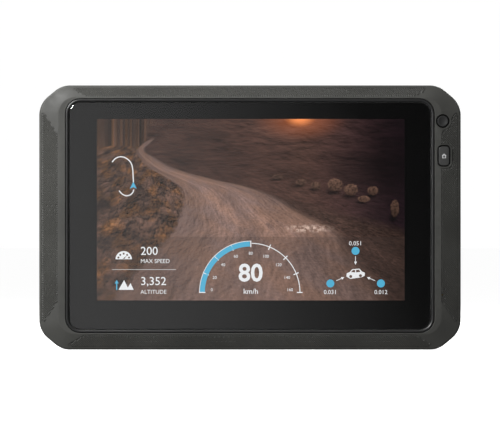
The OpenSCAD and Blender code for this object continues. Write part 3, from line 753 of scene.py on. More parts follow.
    def road_mask(self):
        """1 on the road, with a ragged edge that softens as it comes nearer."""
        n = self.n
        ragged = n.mul_add(n.noise(14.0, 5.0, 0.75, self.ground), 0.16, -0.08)
        edge = n.mul(ragged, self.depth)
        soft = n.mul(self.depth, 0.045)
        in_left = n.math("DIVIDE", n.plus(n.minus(self.exact_x, self.left), edge), soft)
        wide = n.mul(soft, 3.0)
        in_right = n.math("DIVIDE", n.plus(n.minus(self.right, self.exact_x), edge), wide)
        both = n.mul(n.spread(in_left, -0.5, 0.5), n.spread(in_right, -0.5, 0.5))
        return n.mul(both, n.spread(self.y, 38.0, 40.5, 1.0, 0.0))

    def bush(self, colour, x, y, width, height, tone=1.0):
        n = self.n
        fuzz = n.noise(650, 6.0, 0.8)
        ragged = n.plus(self.patch(x, y, width, height, 0.75), n.mul_add(fuzz, 1.1, -0.55))
        mask = n.spread(ragged, 0.42, 0.62)
        under = self.patch(x - 1.0, y - height * 0.7, width * 0.9, height * 0.45, 0.8)
        colour = self.scaled(colour, n.mul_add(under, -0.75, 1.0))
        light = n.spread(n.minus(self.y, y), -height, height * 0.8, 0.2, 1.0)
        tuft = n.mul(n.spread(n.noise(900, 5.0, 0.8), 0.38, 0.66, 0.25, 1.5), light)
        return n.mix(mask, colour, self.scaled(tinted(srgb(116, 86, 72), tone), tuft))

    def colour(self):
        n = self.n
        beyond = n.spread(n.minus(self.y, n.mul_add(self.exact_x, -0.27, 14.0)), -2.5, 2.5)
        right_side = n.mix(beyond, self.verge(), self.hills())
        bank = n.spread(n.minus(self.x, n.mul_add(self.y, 0.35, -66.0)), -2.0, 2.0)
        high = n.mul(n.spread(self.y, 33.0, 39.0), bank)
        on_left = n.mul(n.spread(n.minus(n.plus(self.left, self.right), n.mul(self.x, 2.0)), -1.0, 1.0),
                        n.minus(1.0, high))
        colour = n.mix(on_left, right_side, self.slope())
        colour = n.mix(self.road_mask(), colour, self.road())
        for spot in ((42.5, 16.4, 6.2, 5.2), (50.4, 14.0, 5.6, 4.6, 0.95), (33.0, 16.0, 4.2, 3.0, 0.85),
                     (25.5, 17.6, 4.4, 2.6, 0.75), (61.5, 13.4, 4.6, 3.6, 0.8), (57.0, 9.3, 5.0, 2.6, 1.0),
                     (14.0, 20.4, 5.0, 2.2, 0.6), (72.5, 4.5, 3.4, 7.0, 0.6)):
            colour = self.bush(colour, *spot)
        pale = n.mul(self.patch(28.5, -5.6, 16.0, 2.8, 0.8), n.spread(n.noise(620, 5.0, 0.75), 0.45, 0.6))
        colour = n.mix(n.mul(pale, 0.85), colour, srgb(226, 196, 180))
        crack = n.mul(self.patch(10.0, -4.0, 10.0, 5.0, 0.8), n.spread(n.noise(420, 6.0, 0.7), 0.5, 0.6))
        colour = n.mix(n.mul(crack, 0.5), colour, srgb(62, 52, 54))
        sun = self.patch(25.0, 49.6, 26.0, 13.0)
        colour = n.mix(n.mul(sun, 0.42), colour, srgb(190, 96, 40), "ADD")
        core = self.patch(25.0, 50.0, 9.0, 5.5)
        colour = n.mix(n.mul(core, 0.8), colour, srgb(255, 150, 78), "ADD")
        overlay = n.spread(self.y, OVERLAY_TOP - 0.12, OVERLAY_TOP + 0.12, 1.0, 0.0)
        return n.mix(n.mul(overlay, 0.33), colour, srgb(56, 44, 40))


def picture_material():
    n = Nodes("picture")
    colour = Landscape(n).colour()
    n.set(Emission_Color=colour, Emission_Strength=PICTURE_LEVEL, Base_Color=(0.0, 0.0, 0.0),
          Specular_IOR_Level=0.0, Roughness=0.6)
    return n.material


# ---------- front bezel ----------

GRIP_DEPTH = 0.3
PYRAMID = 0.8
PYRAMID_H = 0.3
DECK_Z = 8.0
WALL = 2.5
POWER_KEY = (96.5, 48.2, 2.85, 3.4)
HOME_KEY = (97.1, 30.8, 5.4, 9.7, 0.55)
MIC = (96.2, -38.8, 0.42)


def slope_between(p, plateau, top, rim, low):
    """Height of a face that is flat inside plateau and slopes to low at the outline rim."""
    d_in, d_out = distance(p, plateau), distance(p, rim)
    t = d_out / np.maximum(d_out + d_in, 1e-9)
    z = low + (top - low) * t
    return np.where(inside(p, plateau), top, np.where(inside(p, rim), z, low))


def border_height(p):
    """The sloping border: flat round the glass, then falling towards the case's edge."""
    w, h, r, cy = PLATEAU
    return slope_between(p, round_rect(w, h, r, 0, cy, 12), RIM_Z, case_outline(SLOPE_INSET), SLOPE_Z)


def lattice(p):
    """Position of points in the diamond lattice of the grip, in cells."""
    a = (p[:, 0] + p[:, 1]) / (math.sqrt(2) * PYRAMID)
    b = (p[:, 0] - p[:, 1]) / (math.sqrt(2) * PYRAMID)
    return a, b


def pyramid_height(p):
    a, b = lattice(p)
    off = np.maximum(abs(a - np.floor(a) - 0.5), abs(b - np.floor(b) - 0.5))
    return np.where(off < 0.02, PYRAMID_H, 0.0)


def pyramid_points(outline, keep_off, margin=0.4):
    """Valleys and tips of the diamond lattice that lie well inside the outline and off the named outlines."""
    q = np.array(outline)
    lo, hi = q.min(0), q.max(0)
    side = PYRAMID / math.sqrt(2)
    xs = np.arange(math.floor(lo[0] / side), math.ceil(hi[0] / side) + 1)
    ys = np.arange(math.floor(lo[1] / side), math.ceil(hi[1] / side) + 1)
    g = np.stack(np.meshgrid(xs, ys), -1).reshape(-1, 2)
    g = g[(g.sum(1) % 2) == 0] * side
    tips = g + [side, 0]
    g = np.concatenate([g, tips])
    g = np.unique(np.round(g, 6), axis=0)
    g = g[inside(g, outline)]
    g = g[distance(g, outline) > margin]
    for other in keep_off:
        g = g[~inside(g, other)]
        g = g[distance(g, other) > margin]
    return g


def side_grip(side, x_in, end, end_in, inset=1.2):
    x_out = CASE_W / 2 - inset
    corners = ((x_in, end_in), (x_in, -end_in), (x_out - 1.6, -end), (x_out, -end), (x_out, end),
               (x_out - 1.6, end))
    return spaced(softened([(side * x, y) for x, y in corners], 1.6), 0.6)


def long_grip(y_in, y_out, x_in, x_out):
    return spaced(softened([(-x_in, y_in), (x_in, y_in), (x_out, y_out), (-x_out, y_out)], 1.0), 0.6)


def power_key_hole(r):
    return circle(r, POWER_KEY[0], POWER_KEY[1], 48)


def home_key_hole(extra):
    x, y, w, h, _ = HOME_KEY
    return round_rect(w + 2 * extra, h + 2 * extra, 1.7 + extra, x, y, 8)


def crease_points(plateau, blocked):
    """Extra points along the line where the slope starts, clear of everything cut into the face."""
    w, h, r, cy = plateau
    extra = []
    for d in (-0.35, 0.0, 0.35):
        q = np.array(spaced(round_rect(w + 2 * d, h + 2 * d, r + d, 0, cy, 12), 2.0))
        for other in blocked:
            q = q[~inside(q, other)]
            q = q[distance(q, other) > 0.3]
        extra += list(q)
    return extra


def front_bezel(material):
    s = Solid()
    outer = wall_loop(SLOPE_INSET)
    pocket = round_rect(POCKET_W, POCKET_H, POCKET_R, RING_X, RING_Y, 14, 2.5)
    display = node_rect("lcd_panel")
    opening = round_rect(display[2] + 1, display[3] + 1, 1.5, display[0], display[1], 6, 4.0)
    chamfer = 0.18
    collars = [power_key_hole(POWER_KEY[3] + 0.9), home_key_hole(HOME_KEY[4] + 0.8)]
    grips = [side_grip(-1, 96.1, 52.4, 42.0), side_grip(1, 95.7, 52.4, 42.0),
             long_grip(60.35, 64.95, 82.5, 91.6), long_grip(-58.55, -64.9, 83.0, 93.5)]

    def in_collar(middle):
        return np.logical_or.reduce([inside(middle, grown(c, -0.35)) for c in collars])

    def ramp_from(loop, depth):
        return lambda p: border_height(p) - depth * (distance(p, loop) < 1e-4)

    holes = [power_key_hole(POWER_KEY[3]), home_key_hole(HOME_KEY[4]), circle(MIC[2], MIC[0], MIC[1], 20)]
    regions = [(opening, None, None), (pocket, None, GLASS_BACK - 0.2)]
    regions += [(hole, None, None) for hole in holes]
    regions += [(grown(hole, chamfer), None, ramp_from(hole, chamfer)) for hole in holes]
    regions.append((grown(pocket, chamfer), None, ramp_from(pocket, chamfer)))
    regions += [(c, None, border_height) for c in collars]
    regions += [(g, in_collar if g is grips[1] else None,
                 lambda p: border_height(p) - GRIP_DEPTH + pyramid_height(p)) for g in grips]
    extra = crease_points(PLATEAU, [pocket] + [grown(hole, chamfer) for hole in holes] + grips)
    for g in grips:
        extra += list(pyramid_points(g, collars if g is grips[1] else []))
    s.relief(outer, regions, border_height, grid=2.2, extra=extra, through=DECK_Z)
    # The edge rolls over into the side wall in a quarter ellipse, and the wall ends in a bevel at the seam.
    loops = [at(outer, border_height)]
    for k in range(1, 7):
        a = math.radians(90 * k / 6)
        loops.append(at(wall_loop(SLOPE_INSET * (1 - math.sin(a))), SLOPE_Z - 1.15 * (1 - math.cos(a))))
    seam = ((0, SPLIT_Z + 0.3), (0.25, SPLIT_Z + 0.05), (WALL, SPLIT_Z + 0.05), (WALL, DECK_Z))
    loops += [at(wall_loop(inset), z) for inset, z in seam]
    for upper, lower in zip(loops, loops[1:]):
        s.strip(lower, upper)
    s.relief(wall_loop(WALL), [(opening, None, None)] + [(h, None, None) for h in holes], level(DECK_Z),
             flip=True, through=DECK_Z)
    bezel = s.piece("bezel", material, sharp=24)
    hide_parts("front_bezel")


# ---------- simple closed shapes ----------

def upright(x, y, z):
    return x, y, z


def slab(loop_at, levels, material, name, body="case", sharp=28.0, place=upright, solid=None):
    """A closed piece with flat ends: loop_at(inset) is its outline, and levels are (inset, z)."""
    s = solid or Solid()
    loops = [[place(*p) for p in at(loop_at(inset), z)] for inset, z in levels]
    for lower, upper in zip(loops, loops[1:]):
        s.strip(lower, upper)
    s.face(loops[0][::-1])
    s.face(loops[-1])
    return s.piece(name, material, body, sharp) if name else s


def ring_piece(loop_at, section, material, name, body="case", sharp=28.0, place=upright, solid=None):
    """A frame whose closed section is a list of (inset, z), anticlockwise when seen along the loop."""
    s = solid or Solid()
    loops = [[place(*p) for p in at(loop_at(inset), z)] for inset, z in section]
    for a, b in zip(loops, loops[1:] + loops[:1]):
        s.strip(a, b)
    return s.piece(name, material, body, sharp) if name else s


def prism(solid, outline, z0, z1, place=upright):
    slab(lambda inset: outline, [(0, z0), (0, z1)], None, None, place=place, solid=solid)


def pierced(solid, outline, holes, z0, z1):
    """A closed prism with holes through it."""
    for z, flip in ((z1, False), (z0, True)):
        solid.relief(outline, [(hole, None, None) for hole in holes], level(z), flip=flip, through=z0)
    solid.strip(at(outline, z0), at(outline, z1))


def stroke(solid, path, width, z0, z1, place=upright):
    """A bar of constant width along an open path, as a closed prism."""
    p = np.array(path, float)
    d = np.gradient(p, axis=0)
    d /= np.linalg.norm(d, axis=1)[:, None]
    side = np.stack([-d[:, 1], d[:, 0]], 1) * width / 2
    outline = [tuple(q) for q in np.concatenate([p + side, (p - side)[::-1]])]
    prism(solid, outline, z0, z1, place)


# ---------- glass, ring and display ----------

def cover_glass(material):
    def outline(inset):
        return round_rect(GLASS_W - 2 * inset, GLASS_H - 2 * inset, GLASS_R - inset, GLASS_X, GLASS_Y, 14)

    piece = slab(outline, [(0.1, GLASS_BACK), (0, GLASS_BACK + 0.1), (0, GLASS_TOP - 0.25),
                           (0.08, GLASS_TOP - 0.08), (0.28, GLASS_TOP)], material, "glass", sharp=8.0)
    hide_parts("cover_glass")


def trim_ring(material):
    def outline(inset):
        return round_rect(RING_W - 2 * inset, RING_H - 2 * inset, GLASS_R + RING_T + RING_GAP - inset, RING_X,
                          RING_Y, 14)

    top, t = RING_TOP, RING_T
    section = [(0, RING_BACK), (0, top - 0.45), (0.1, top - 0.16), (0.35, top - 0.02), (0.6, top),
               (0.85, top - 0.03), (t - 0.15, top - 0.28), (t, top - 0.5), (t, RING_BACK)]
    piece = ring_piece(outline, section[::-1], material, "ring")
    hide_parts("trim_ring")


def display_print(material):
    """The black printed border on the back of the glass, with a window for the picture."""
    px, py, pw, ph = PICTURE
    s = Solid()
    outer = round_rect(GLASS_W - 0.3, GLASS_H - 0.3, GLASS_R - 0.15, GLASS_X, GLASS_Y, 14)
    window = [(px + a * pw / 2, py + b * ph / 2) for a, b in ((1, 1), (-1, 1), (-1, -1), (1, -1))]
    top, bottom = GLASS_BACK - 0.04, GLASS_BACK - 0.1
    s.relief(outer, [(window, None, None)], level(top), through=bottom)
    s.strip(at(outer, bottom), at(outer, top))
    s.relief(outer, [(window, None, None)], level(bottom), flip=True, through=bottom)
    piece = s.piece("glass_border", material)
    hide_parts("glass_tape")


PICTURE_TOP = GLASS_BACK - 0.13
MARK_BACK, MARK_TOP = PICTURE_TOP + 0.004, PICTURE_TOP + 0.025


def display_picture(material):
    px, py, pw, ph = PICTURE

    def outline(inset):
        return round_rect(pw + 1.5 - 2 * inset, ph + 1.5 - 2 * inset, 0.3, px, py, 2)

    piece = slab(outline, [(0, PICTURE_TOP - 0.3), (0, PICTURE_TOP)], material, "picture")
    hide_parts("lcd_panel")


# ---------- marks on the display ----------

def letters(solid, text, x, y, height, align="CENTER", weight=0.0):
    """Adds text to solid as thin closed letters: y is the middle of a digit, height a digit's height."""
    data = bpy.data.curves.new("letters", "FONT")
    data.body, data.size, data.resolution_u = "0", 1.0, 3
    obj = bpy.data.objects.new("letters", data)
    SCENE.collection.objects.link(obj)

    def outline_mesh():
        bpy.context.view_layer.update()
        return bpy.data.meshes.new_from_object(obj.evaluated_get(bpy.context.evaluated_depsgraph_get()))

    digit = outline_mesh()
    low = min(v.co.y for v in digit.vertices)
    tall = max(v.co.y for v in digit.vertices) - low
    scale = height / tall
    data.body, data.align_x, data.offset, data.extrude = text, align, weight, 0.01
    mesh = outline_mesh()
    for face in mesh.polygons:
        corners = [mesh.vertices[i].co for i in face.vertices]
        solid.face([(x + c.x * scale, y + (c.y - low - tall / 2) * scale,
                     MARK_TOP if c.z > 0 else MARK_BACK) for c in corners])
    bpy.data.objects.remove(obj)
    for used in (digit, mesh):
        bpy.data.meshes.remove(used)


def mark(solid, outline):
    prism(solid, outline, MARK_BACK, MARK_TOP)


def line(solid, path, width):
    stroke(solid, path, width, MARK_BACK, MARK_TOP)


def dot(solid, x, y, r, n=24):
    mark(solid, circle(r, x, y, n))


DIAL = (0.4, -37.5, 24.6)


def around_dial(angle, r):
    a = math.radians(angle)
    return DIAL[0] + r * math.cos(a), DIAL[1] + r * math.sin(a)


def speed_dial(white, blue):
    reach = DIAL[2]
    line(white, [around_dial(a, reach) for a in np.linspace(0, 89, 40)], 0.42)
    line(blue, [around_dial(a, reach - 0.35) for a in np.linspace(91, 180, 44)], 2.5)
    line(white, [around_dial(a, reach + 1.1) for a in np.linspace(90, 180, 44)], 0.3)
    for k in range(9):
        angle = 180 - k * 22.5
        inner = reach - (1.9 if k < 5 else 1.5)
        line(white, [around_dial(angle, inner), around_dial(angle, reach + 1.3)], 0.5)
        text_angle = angle if 0 < k < 8 else 90 + (90 - 4) * (1 if k == 0 else -1)
        letters(white, str(k * 20), *around_dial(text_angle, 19.6), 1.5)
    letters(white, "80", DIAL[0] - 0.1, -27.6, 8.6, weight=0.022)
    letters(white, "km/h", DIAL[0], -36.9, 2.6, weight=0.006)


def figures(white, blue):
    letters(white, "200", -54.8, -16.7, 4.1, "LEFT", 0.004)
    letters(white, "MAX SPEED", -54.8, -21.8, 2.0, "LEFT")
    line(white, [(-69.0, -26.05), (-53.0, -26.05), (-37.0, -26.05)], 0.16)
    letters(white, "3,352", -54.8, -31.8, 4.1, "LEFT", 0.004)
    letters(white, "ALTITUDE", -54.8, -37.2, 2.0, "LEFT")
    gauge_icon(white, -63.2, -20.9, 4.1)
    for x, h, w in ((-63.2, 4.9, 5.2), (-60.0, 3.4, 3.6)):
        mark(white, [(x - w / 2, -38.6 + 2.4), (x + w / 2, -38.6 + 2.4), (x + 0.2, -38.6 + 2.4 + h)])
    line(blue, [(-66.7, -36.2), (-66.7, -34.0), (-66.7, -32.6)], 0.6)
    mark(blue, [(-67.7, -33.0), (-65.7, -33.0), (-66.7, -31.2)])


def gauge_icon(white, x, y, r):
    """A half dial with its scale cut out."""
    half = arc(x, y, r, 0, 180, 24)
    holes = [circle(0.5, x + 0.68 * r * math.cos(a), y + 0.68 * r * math.sin(a), 8)
             for a in np.radians((18, 52, 90, 128, 162))]
    holes.append([(x - 0.45, y + 0.25), (x + 0.45, y + 0.25), (x + 1.5, y + 1.9)])
    pierced(white, half, holes, MARK_BACK, MARK_TOP)


def route(white, blue):
    """The stretch of track on the left, with an arrow at the present place."""
    upper = [(-69.0, 27.7), (-67.6, 29.3), (-65.6, 30.3), (-63.2, 30.2), (-60.9, 28.9), (-59.3, 26.8),
             (-58.7, 24.0), (-58.5, 21.0), (-58.35, 17.6)]
    lower = [(-58.2, 14.0), (-58.6, 12.6), (-60.0, 11.3), (-62.0, 10.9), (-64.0, 11.8), (-65.5, 13.4)]
    line(white, curved(upper), 0.55)
    line(white, curved(lower), 0.55)
    mark(blue, [(-60.1, 14.4), (-58.4, 15.2), (-56.7, 14.4), (-58.4, 18.0)])


def curved(points, steps=5):
    """A smooth path through points."""
    p = np.array([points[0], *points, points[-1]], float)
    out = []
    for a, b, c, d in zip(p, p[1:], p[2:], p[3:]):
        for t in np.arange(steps) / steps:
            out.append(0.5 * (2 * b + (c - a) * t + (2 * a - 5 * b + 4 * c - d) * t ** 2
                              + (3 * b - a - 3 * c + d) * t ** 3))
    return out + [p[-1]]


def tilt_dots(white, blue):
    """Three sensor readings round a small vehicle."""
    for x, y, text, above in ((52.8, -16.7, "0.051", True), (40.2, -33.0, "0.031", False),
                              (65.5, -33.0, "0.012", False)):
        dot(blue, x, y, 2.0)
        letters(white, text, x, y + (3.8 if above else -4.3), 2.1)
    for (x0, y0), (x1, y1) in (((52.8, -19.4), (52.8, -23.6)), ((43.2, -31.6), (47.2, -29.9)),
                               ((62.6, -31.6), (58.5, -29.9))):
        d = np.array([x1 - x0, y1 - y0]) / math.hypot(x1 - x0, y1 - y0)
        side = np.array([-d[1], d[0]])
        tip = np.array([x1, y1])
        line(white, [(x0, y0), tuple(tip - d * 1.2)], 0.3)
        mark(white, [tuple(tip), tuple(tip - d * 1.5 + side * 0.75), tuple(tip - d * 1.5 - side * 0.75)])
    body = [(-4.6, -1.3), (-4.4, 0.3), (-2.9, 0.9), (-1.7, 2.3), (1.9, 2.6), (3.3, 1.1), (4.7, 0.6),
            (4.6, -0.9), (3.4, -1.6), (1.2, -2.0), (-2.6, -2.5)]
    windows = [[(-2.2, 0.9), (-1.3, 1.9), (-0.2, 1.95), (-0.2, 0.7)],
               [(0.3, 0.75), (0.3, 2.0), (1.7, 2.1), (2.5, 1.0)]]
    wheels = [circle(0.75, -2.4, -1.3, 14), circle(0.75, 2.5, -0.9, 14)]
    outline = [(52.8 + x, -28.2 + y) for x, y in softened(body, 0.5)]
    holes = [[(52.8 + x, -28.2 + y) for x, y in hole] for hole in windows + wheels]
    pierced(white, outline, holes, MARK_BACK, MARK_TOP)


def display_marks(white_material, blue_material):
    white, blue = Solid(), Solid()
    route(white, blue)
    figures(white, blue)
    speed_dial(white, blue)
    tilt_dots(white, blue)
    for solid, name, material in ((white, "marks_white", white_material),
                                  (blue, "marks_blue", blue_material)):
        solid.piece(name, material, smooth=False)


# ---------- keys ----------

def power_key(material):
    x, y, r, _ = POWER_KEY
    top = node_rect("power_button")[5]
    profile = [(-1.1, DECK_Z - 0.85), (-1.1, DECK_Z - 0.1), (0, DECK_Z - 0.1), (0, top - 0.5),
               (0.06, top - 0.22),
               (0.22, top - 0.06), (0.4, top), (0.62, top - 0.03), (1.3, top - 0.22), (2.0, top - 0.34),
               (2.5, top - 0.37)]
    piece = slab(lambda inset: circle(r - inset, x, y, 48), profile, material, "power_key", "power_button")
    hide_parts("power_button")


def home_key(material, mark_material):
    x, y, w, h, _ = HOME_KEY
    top = node_rect("home_button")[5]

    def outline(inset):
        return round_rect(w - 2 * inset, h - 2 * inset, 1.7 - inset, x, y, 8)

    profile = [(-0.9, DECK_Z - 0.85), (-0.9, DECK_Z - 0.1), (0, DECK_Z - 0.1), (0, top - 0.5),
               (0.08, top - 0.22), (0.3, top - 0.05), (0.6, top)]
    piece = slab(outline, profile, material, "home_key", "home_button")
    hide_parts("home_button")
    s = Solid()
    house = [(-1.25, 0.0), (-0.95, 0.0), (-0.95, -1.15), (0.95, -1.15), (0.95, 0.0), (1.25, 0.0), (0.0, 1.25)]
    outline = [(x + a, y + b) for a, b in house]
    inner = [(x + a * 0.68, y + b * 0.68 - 0.1)
             for a, b in ((-0.75, -0.05), (-0.75, -1.1), (0.75, -1.1), (0.75, -0.05), (0.0, 0.72))]
    pierced(s, outline, [inner], top - 0.05, top + 0.03)
    s.piece("home_sign", mark_material, "home_button", smooth=False)


def volume_key(name, plus, material, mark_material):
    x, _, w, _, z_low, z_high = node_rect(name)
    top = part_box(name)[1].z * 1000 - CASE_H / 2
    wall = CASE_H / 2
    z = (z_low + z_high) / 2
    w, h = 12.0, 4.2

    def place(a, b, c):
        return a, c, b

    def outline(inset):
        return round_rect(w - 2 * inset, h - 2 * inset, 1.6 - inset, x, z, 8)

    profile = [(-0.7, wall - WALL - 0.7), (-0.7, wall - WALL - 0.05), (0, wall - WALL - 0.05), (0, top - 0.4),
               (0.08, top - 0.16), (0.28, top - 0.02), (0.5, top)]
    piece = slab(outline, profile, material, name + "_cap", name, place=place)
    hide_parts(name)
    low, high = top - 0.05, top
    solid = Solid()
    if plus:
        a, b = 1.3, 0.25
        cross = [(a, b), (b, b), (b, a), (-b, a), (-b, b), (-a, b), (-a, -b), (-b, -b), (-b, -a), (b, -a),
                 (b, -b), (a, -b)]
        prism(solid, [(x + u, z + v) for u, v in cross], low, high + 0.04, place)
    else:
        prism(solid, round_rect(2.6, 0.5, 0.2, x, z, 4), low, high + 0.04, place)
    solid.piece(name + "_sign", mark_material, name, smooth=False)


# ---------- back shell ----------

BACK_PLATEAU = (186.0, 108.0, 9.0, 0.0)
BACK_SLOPE_INSET, BACK_SLOPE_Z = 1.4, -10.25
FLOOR_Z = BACK_Z + 2.4
CAMERA = (62.0, 38.0, 5.08)
FLASH = (76.0, 38.0, 1.78)
SCREWS = [(x, y) for x in (-88, -30, 30, 88) for y in (-57.5, 57.5)]
INSERTS = [(x, y) for x in (-19, 19) for y in (-15, 15)]
BAY_DEPTH = 3.4
BAY_BACK = 2.0
# Sockets behind the door: CAD node, width, height and corner radius of its hole, and its middle's z.
SOCKETS = (("usb_socket", 9.4, 3.6, 1.7, 0.8), ("card_socket", 12.2, 1.3, 0.3, 0.9),
           ("audio_jack", 5.8, 5.8, 2.85, -0.2))


def back_height(p):
    w, h, r, cy = BACK_PLATEAU
    return slope_between(p, round_rect(w, h, r, 0, cy, 12), BACK_Z, case_outline(BACK_SLOPE_INSET),
                         BACK_SLOPE_Z)


def pill(x, y, length, r):
    return [*arc(x + length / 2, y, r, -90, 90, 8), *arc(x - length / 2, y, r, 90, 270, 8)]


def back_openings():
    """Outlines that go right through the back: camera, flash, loudspeaker slots, dock and vent."""
    holes = [circle(CAMERA[2] - 1.08, *CAMERA[:2], 40), circle(FLASH[2], *FLASH[:2], 24)]
    holes += [pill(-70, -30 + 3 * i, 24, 0.7) for i in range(-3, 4)]
    holes.append(round_rect(40, 8, 1.5, 0, -44, 6))
    holes += [circle(0.55, 70 + (2.2 * math.cos(a) if i else 0), -34 + (2.2 * math.sin(a) if i else 0), 12)
              for i, a in enumerate(np.radians([0, 0, 60, 120, 180, 240, 300]))]
    return holes


def bay_outline(grow=0.0):
    """The socket bay on the unrolled side wall."""
    _, y, _, length, z0, z1 = node_rect("port_door")
    low, high = sorted(along_wall(-CASE_W / 2, y + side * (length / 2 + 0.4)) for side in (-1, 1))
    z0, z1 = z0 - 0.4, z1 + 0.25
    return round_rect(high - low + 2 * grow, z1 - z0 + 2 * grow, 0.8 + grow,
                      (low + high) / 2, (z0 + z1) / 2, 4)


def socket_holes():
    """Sockets behind the door, on the unrolled side wall."""
    return [round_rect(w, h, r, along_wall(-CASE_W / 2, node_rect(node)[1]), z, 8)
            for node, w, h, r, z in SOCKETS]


def volume_holes():
    return [round_rect(12.6, 4.8, 1.9, along_wall(node_rect(n)[0], CASE_H / 2), -2.0, 8)
            for n in ("volume_up_key", "volume_down_key")]


def unrolled(z0, z1):
    """Outline of the whole side wall between two heights, on the unrolled wall."""
    around = list(WALL_AT) + [WALL_LENGTH]
    return [(u, z0) for u in around] + [(u, z1) for u in reversed(around)]


def rear_shell(material):
    s = Solid()
    outer = wall_loop(BACK_SLOPE_INSET)
    holes = back_openings()
    wells = [(circle(CAMERA[2], *CAMERA[:2], 48), BACK_Z + 1.9),
             (round_rect(43, 11, 3, 0, -44, 8), BACK_Z + 0.7)]
    wells += [(circle(2.7, x, y, 32), BACK_Z + 3.2) for x, y in SCREWS]
    wells += [(circle(2.9, x, y, 32), BACK_Z + 6.0) for x, y in INSERTS]
    rims = [(grown(outline, 0.25), outline) for outline, _ in wells]
    grips = [side_grip(side, 93.6, 49.6, 40.0, 2.2) for side in (-1, 1)]
    regions = [(hole, None, None) for hole in holes] + [(outline, None, depth) for outline, depth in wells]
    regions += [(rim, None, lambda p, o=outline: back_height(p) + 0.25 * (distance(p, o) < 1e-4))
                for rim, outline in rims]
    regions += [(g, None, lambda p: back_height(p) + GRIP_DEPTH - pyramid_height(p)) for g in grips]
    blocked = [rim for rim, _ in rims] + grips
    extra = crease_points(BACK_PLATEAU, blocked)
    for g in grips:
        extra += list(pyramid_points(g, []))
    s.relief(outer, regions, back_height, grid=3.0, extra=extra, through=FLOOR_Z, flip=True)
    low = BACK_Z + 3.2
    loops = [at(outer, BACK_SLOPE_Z), at(wall_loop(0.9), -10.05), at(wall_loop(0.45), -9.7),
             at(wall_loop(0.15), -9.25), at(wall_loop(0), low)]
    for a, b in zip(loops, loops[1:]):
        s.strip(b, a)
    top = SPLIT_Z - 0.05
    bay, sockets, keys = bay_outline(), socket_holes(), volume_holes()
    deep = -(BAY_DEPTH + BAY_BACK)
    through = {i: deep for i in range(3)} | {3: -WALL, 4: -WALL}
    openings = [(o, None, None) for o in sockets + keys]
    levels = [(u, z) for u in WALL_AT[1:] for z in (low + 2.5, -3.8, -1.2, 1.4)]
    spare = np.array(levels)
    for o in [bay, bay_outline(BAY_BACK)] + sockets + keys:
        spare = spare[~inside(spare, o) & (distance(spare, o) > 0.5)]
    s.relief(unrolled(low, top - 0.3), openings + [(bay, None, -BAY_DEPTH)], level(0), extra=list(spare),
             through=through, place=wall_place)
    for a, b in (((0, top - 0.3), (0.25, top)), ((0.25, top), (WALL, top))):
        s.strip(at(wall_loop(a[0]), a[1]), at(wall_loop(b[0]), b[1]))
    s.relief(unrolled(FLOOR_Z, top), openings + [(bay_outline(BAY_BACK), None, deep)], level(-WALL),
             extra=list(spare[spare[:, 1] > FLOOR_Z + 1]), through=through, place=wall_place, flip=True)
    boss = ([(circle(3.4, x, y, 24), FLOOR_Z + 1.6) for x, y in SCREWS]
            + [(circle(4.6, x, y, 24), BACK_Z + 7.2) for x, y in INSERTS])
    s.relief(wall_loop(WALL), [(hole, None, None) for hole in holes] + [(o, None, z) for o, z in boss],
             level(FLOOR_Z), through=FLOOR_Z)
    shell = s.piece("rear_shell", material, sharp=24)
    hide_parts("rear_cover")


# ---------- door over the sockets ----------

def on_left(y, z, out):
    """Maps a flat outline in (y, z) to the left side; out is measured from the case's outer face."""
    return -CASE_W / 2 - out, y, z


def port_door(material):
    _, y, _, length, low, high = node_rect("port_door")
    hinge = (-104.3, low + 1.2)
    half = length / 2
    gap, ear = 2.3, 18.0
    notches = [(-half, hinge[1]), (-ear - gap, hinge[1]),
               (-ear - gap, hinge[1] + 1.5), (-ear + gap, hinge[1] + 1.5),
               (-ear + gap, hinge[1]), (ear - gap, hinge[1]),
               (ear - gap, hinge[1] + 1.5), (ear + gap, hinge[1] + 1.5),
               (ear + gap, hinge[1]), (half, hinge[1])]
    catch = [(4.5, high), (3.2, high - 0.9), (-3.2, high - 0.9), (-4.5, high)]
    outline = softened([(y + a, b) for a, b in notches + [(half, high)] + catch + [(-half, high)]], 0.5, 5)
    piece = slab(lambda inset: grown(outline, -inset),
                 [(0.12, -2.4), (0, -2.3), (0, -0.3), (0.1, -0.1), (0.3, 0)],
                 material, "door", "port_door", place=on_left)
    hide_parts("port_door")
    barrels = Solid()
    for a, b in ((-half, -ear - gap), (-ear + gap, ear - gap), (ear + gap, half)):
        slab(lambda inset: circle(1.2 - inset, hinge[0], hinge[1], 28),
             [(0.2, y + a), (0, y + a + 0.2), (0, y + b - 0.2), (0.2, y + b)],
             None, None, place=lambda u, v, w: (u, w, v), solid=barrels)
    barrels.piece("door_knuckles", material, "port_door")
    ribs = Solid()
    for k in range(-5, 6):
        prism(ribs, round_rect(0.7, 3.4, 0.3, y + k * 1.6, -0.6, 3), -0.15, 0.0, on_left)
    ribs.piece("door_ribs", material, "port_door")


def hinge_ears(material):
    _, y, _, _, low, _ = node_rect("port_door")
    hinge = (-104.3, low + 1.2)
    s = Solid()
    for at_y in (y - 18, y + 18):
        slab(lambda inset: circle(1.2 - inset, hinge[0], hinge[1], 28),
             [(0.15, at_y - 2), (0, at_y - 1.85), (0, at_y + 1.85),
              (0.15, at_y + 2)], None, None, place=lambda u, v, w: (u, w, v), solid=s)
        web = [(hinge[0], hinge[1] - 0.9), (-101.9, hinge[1] - 0.9), (-101.9, hinge[1] + 0.9),
               (hinge[0], hinge[1] + 0.9)]
        slab(lambda inset: web, [(0, at_y - 1.9), (0, at_y + 1.9)], None, None, place=lambda u, v,
             w: (u, w, v), solid=s)
    s.piece("hinge_ears", material)


# ---------- camera and other small parts on the back ----------

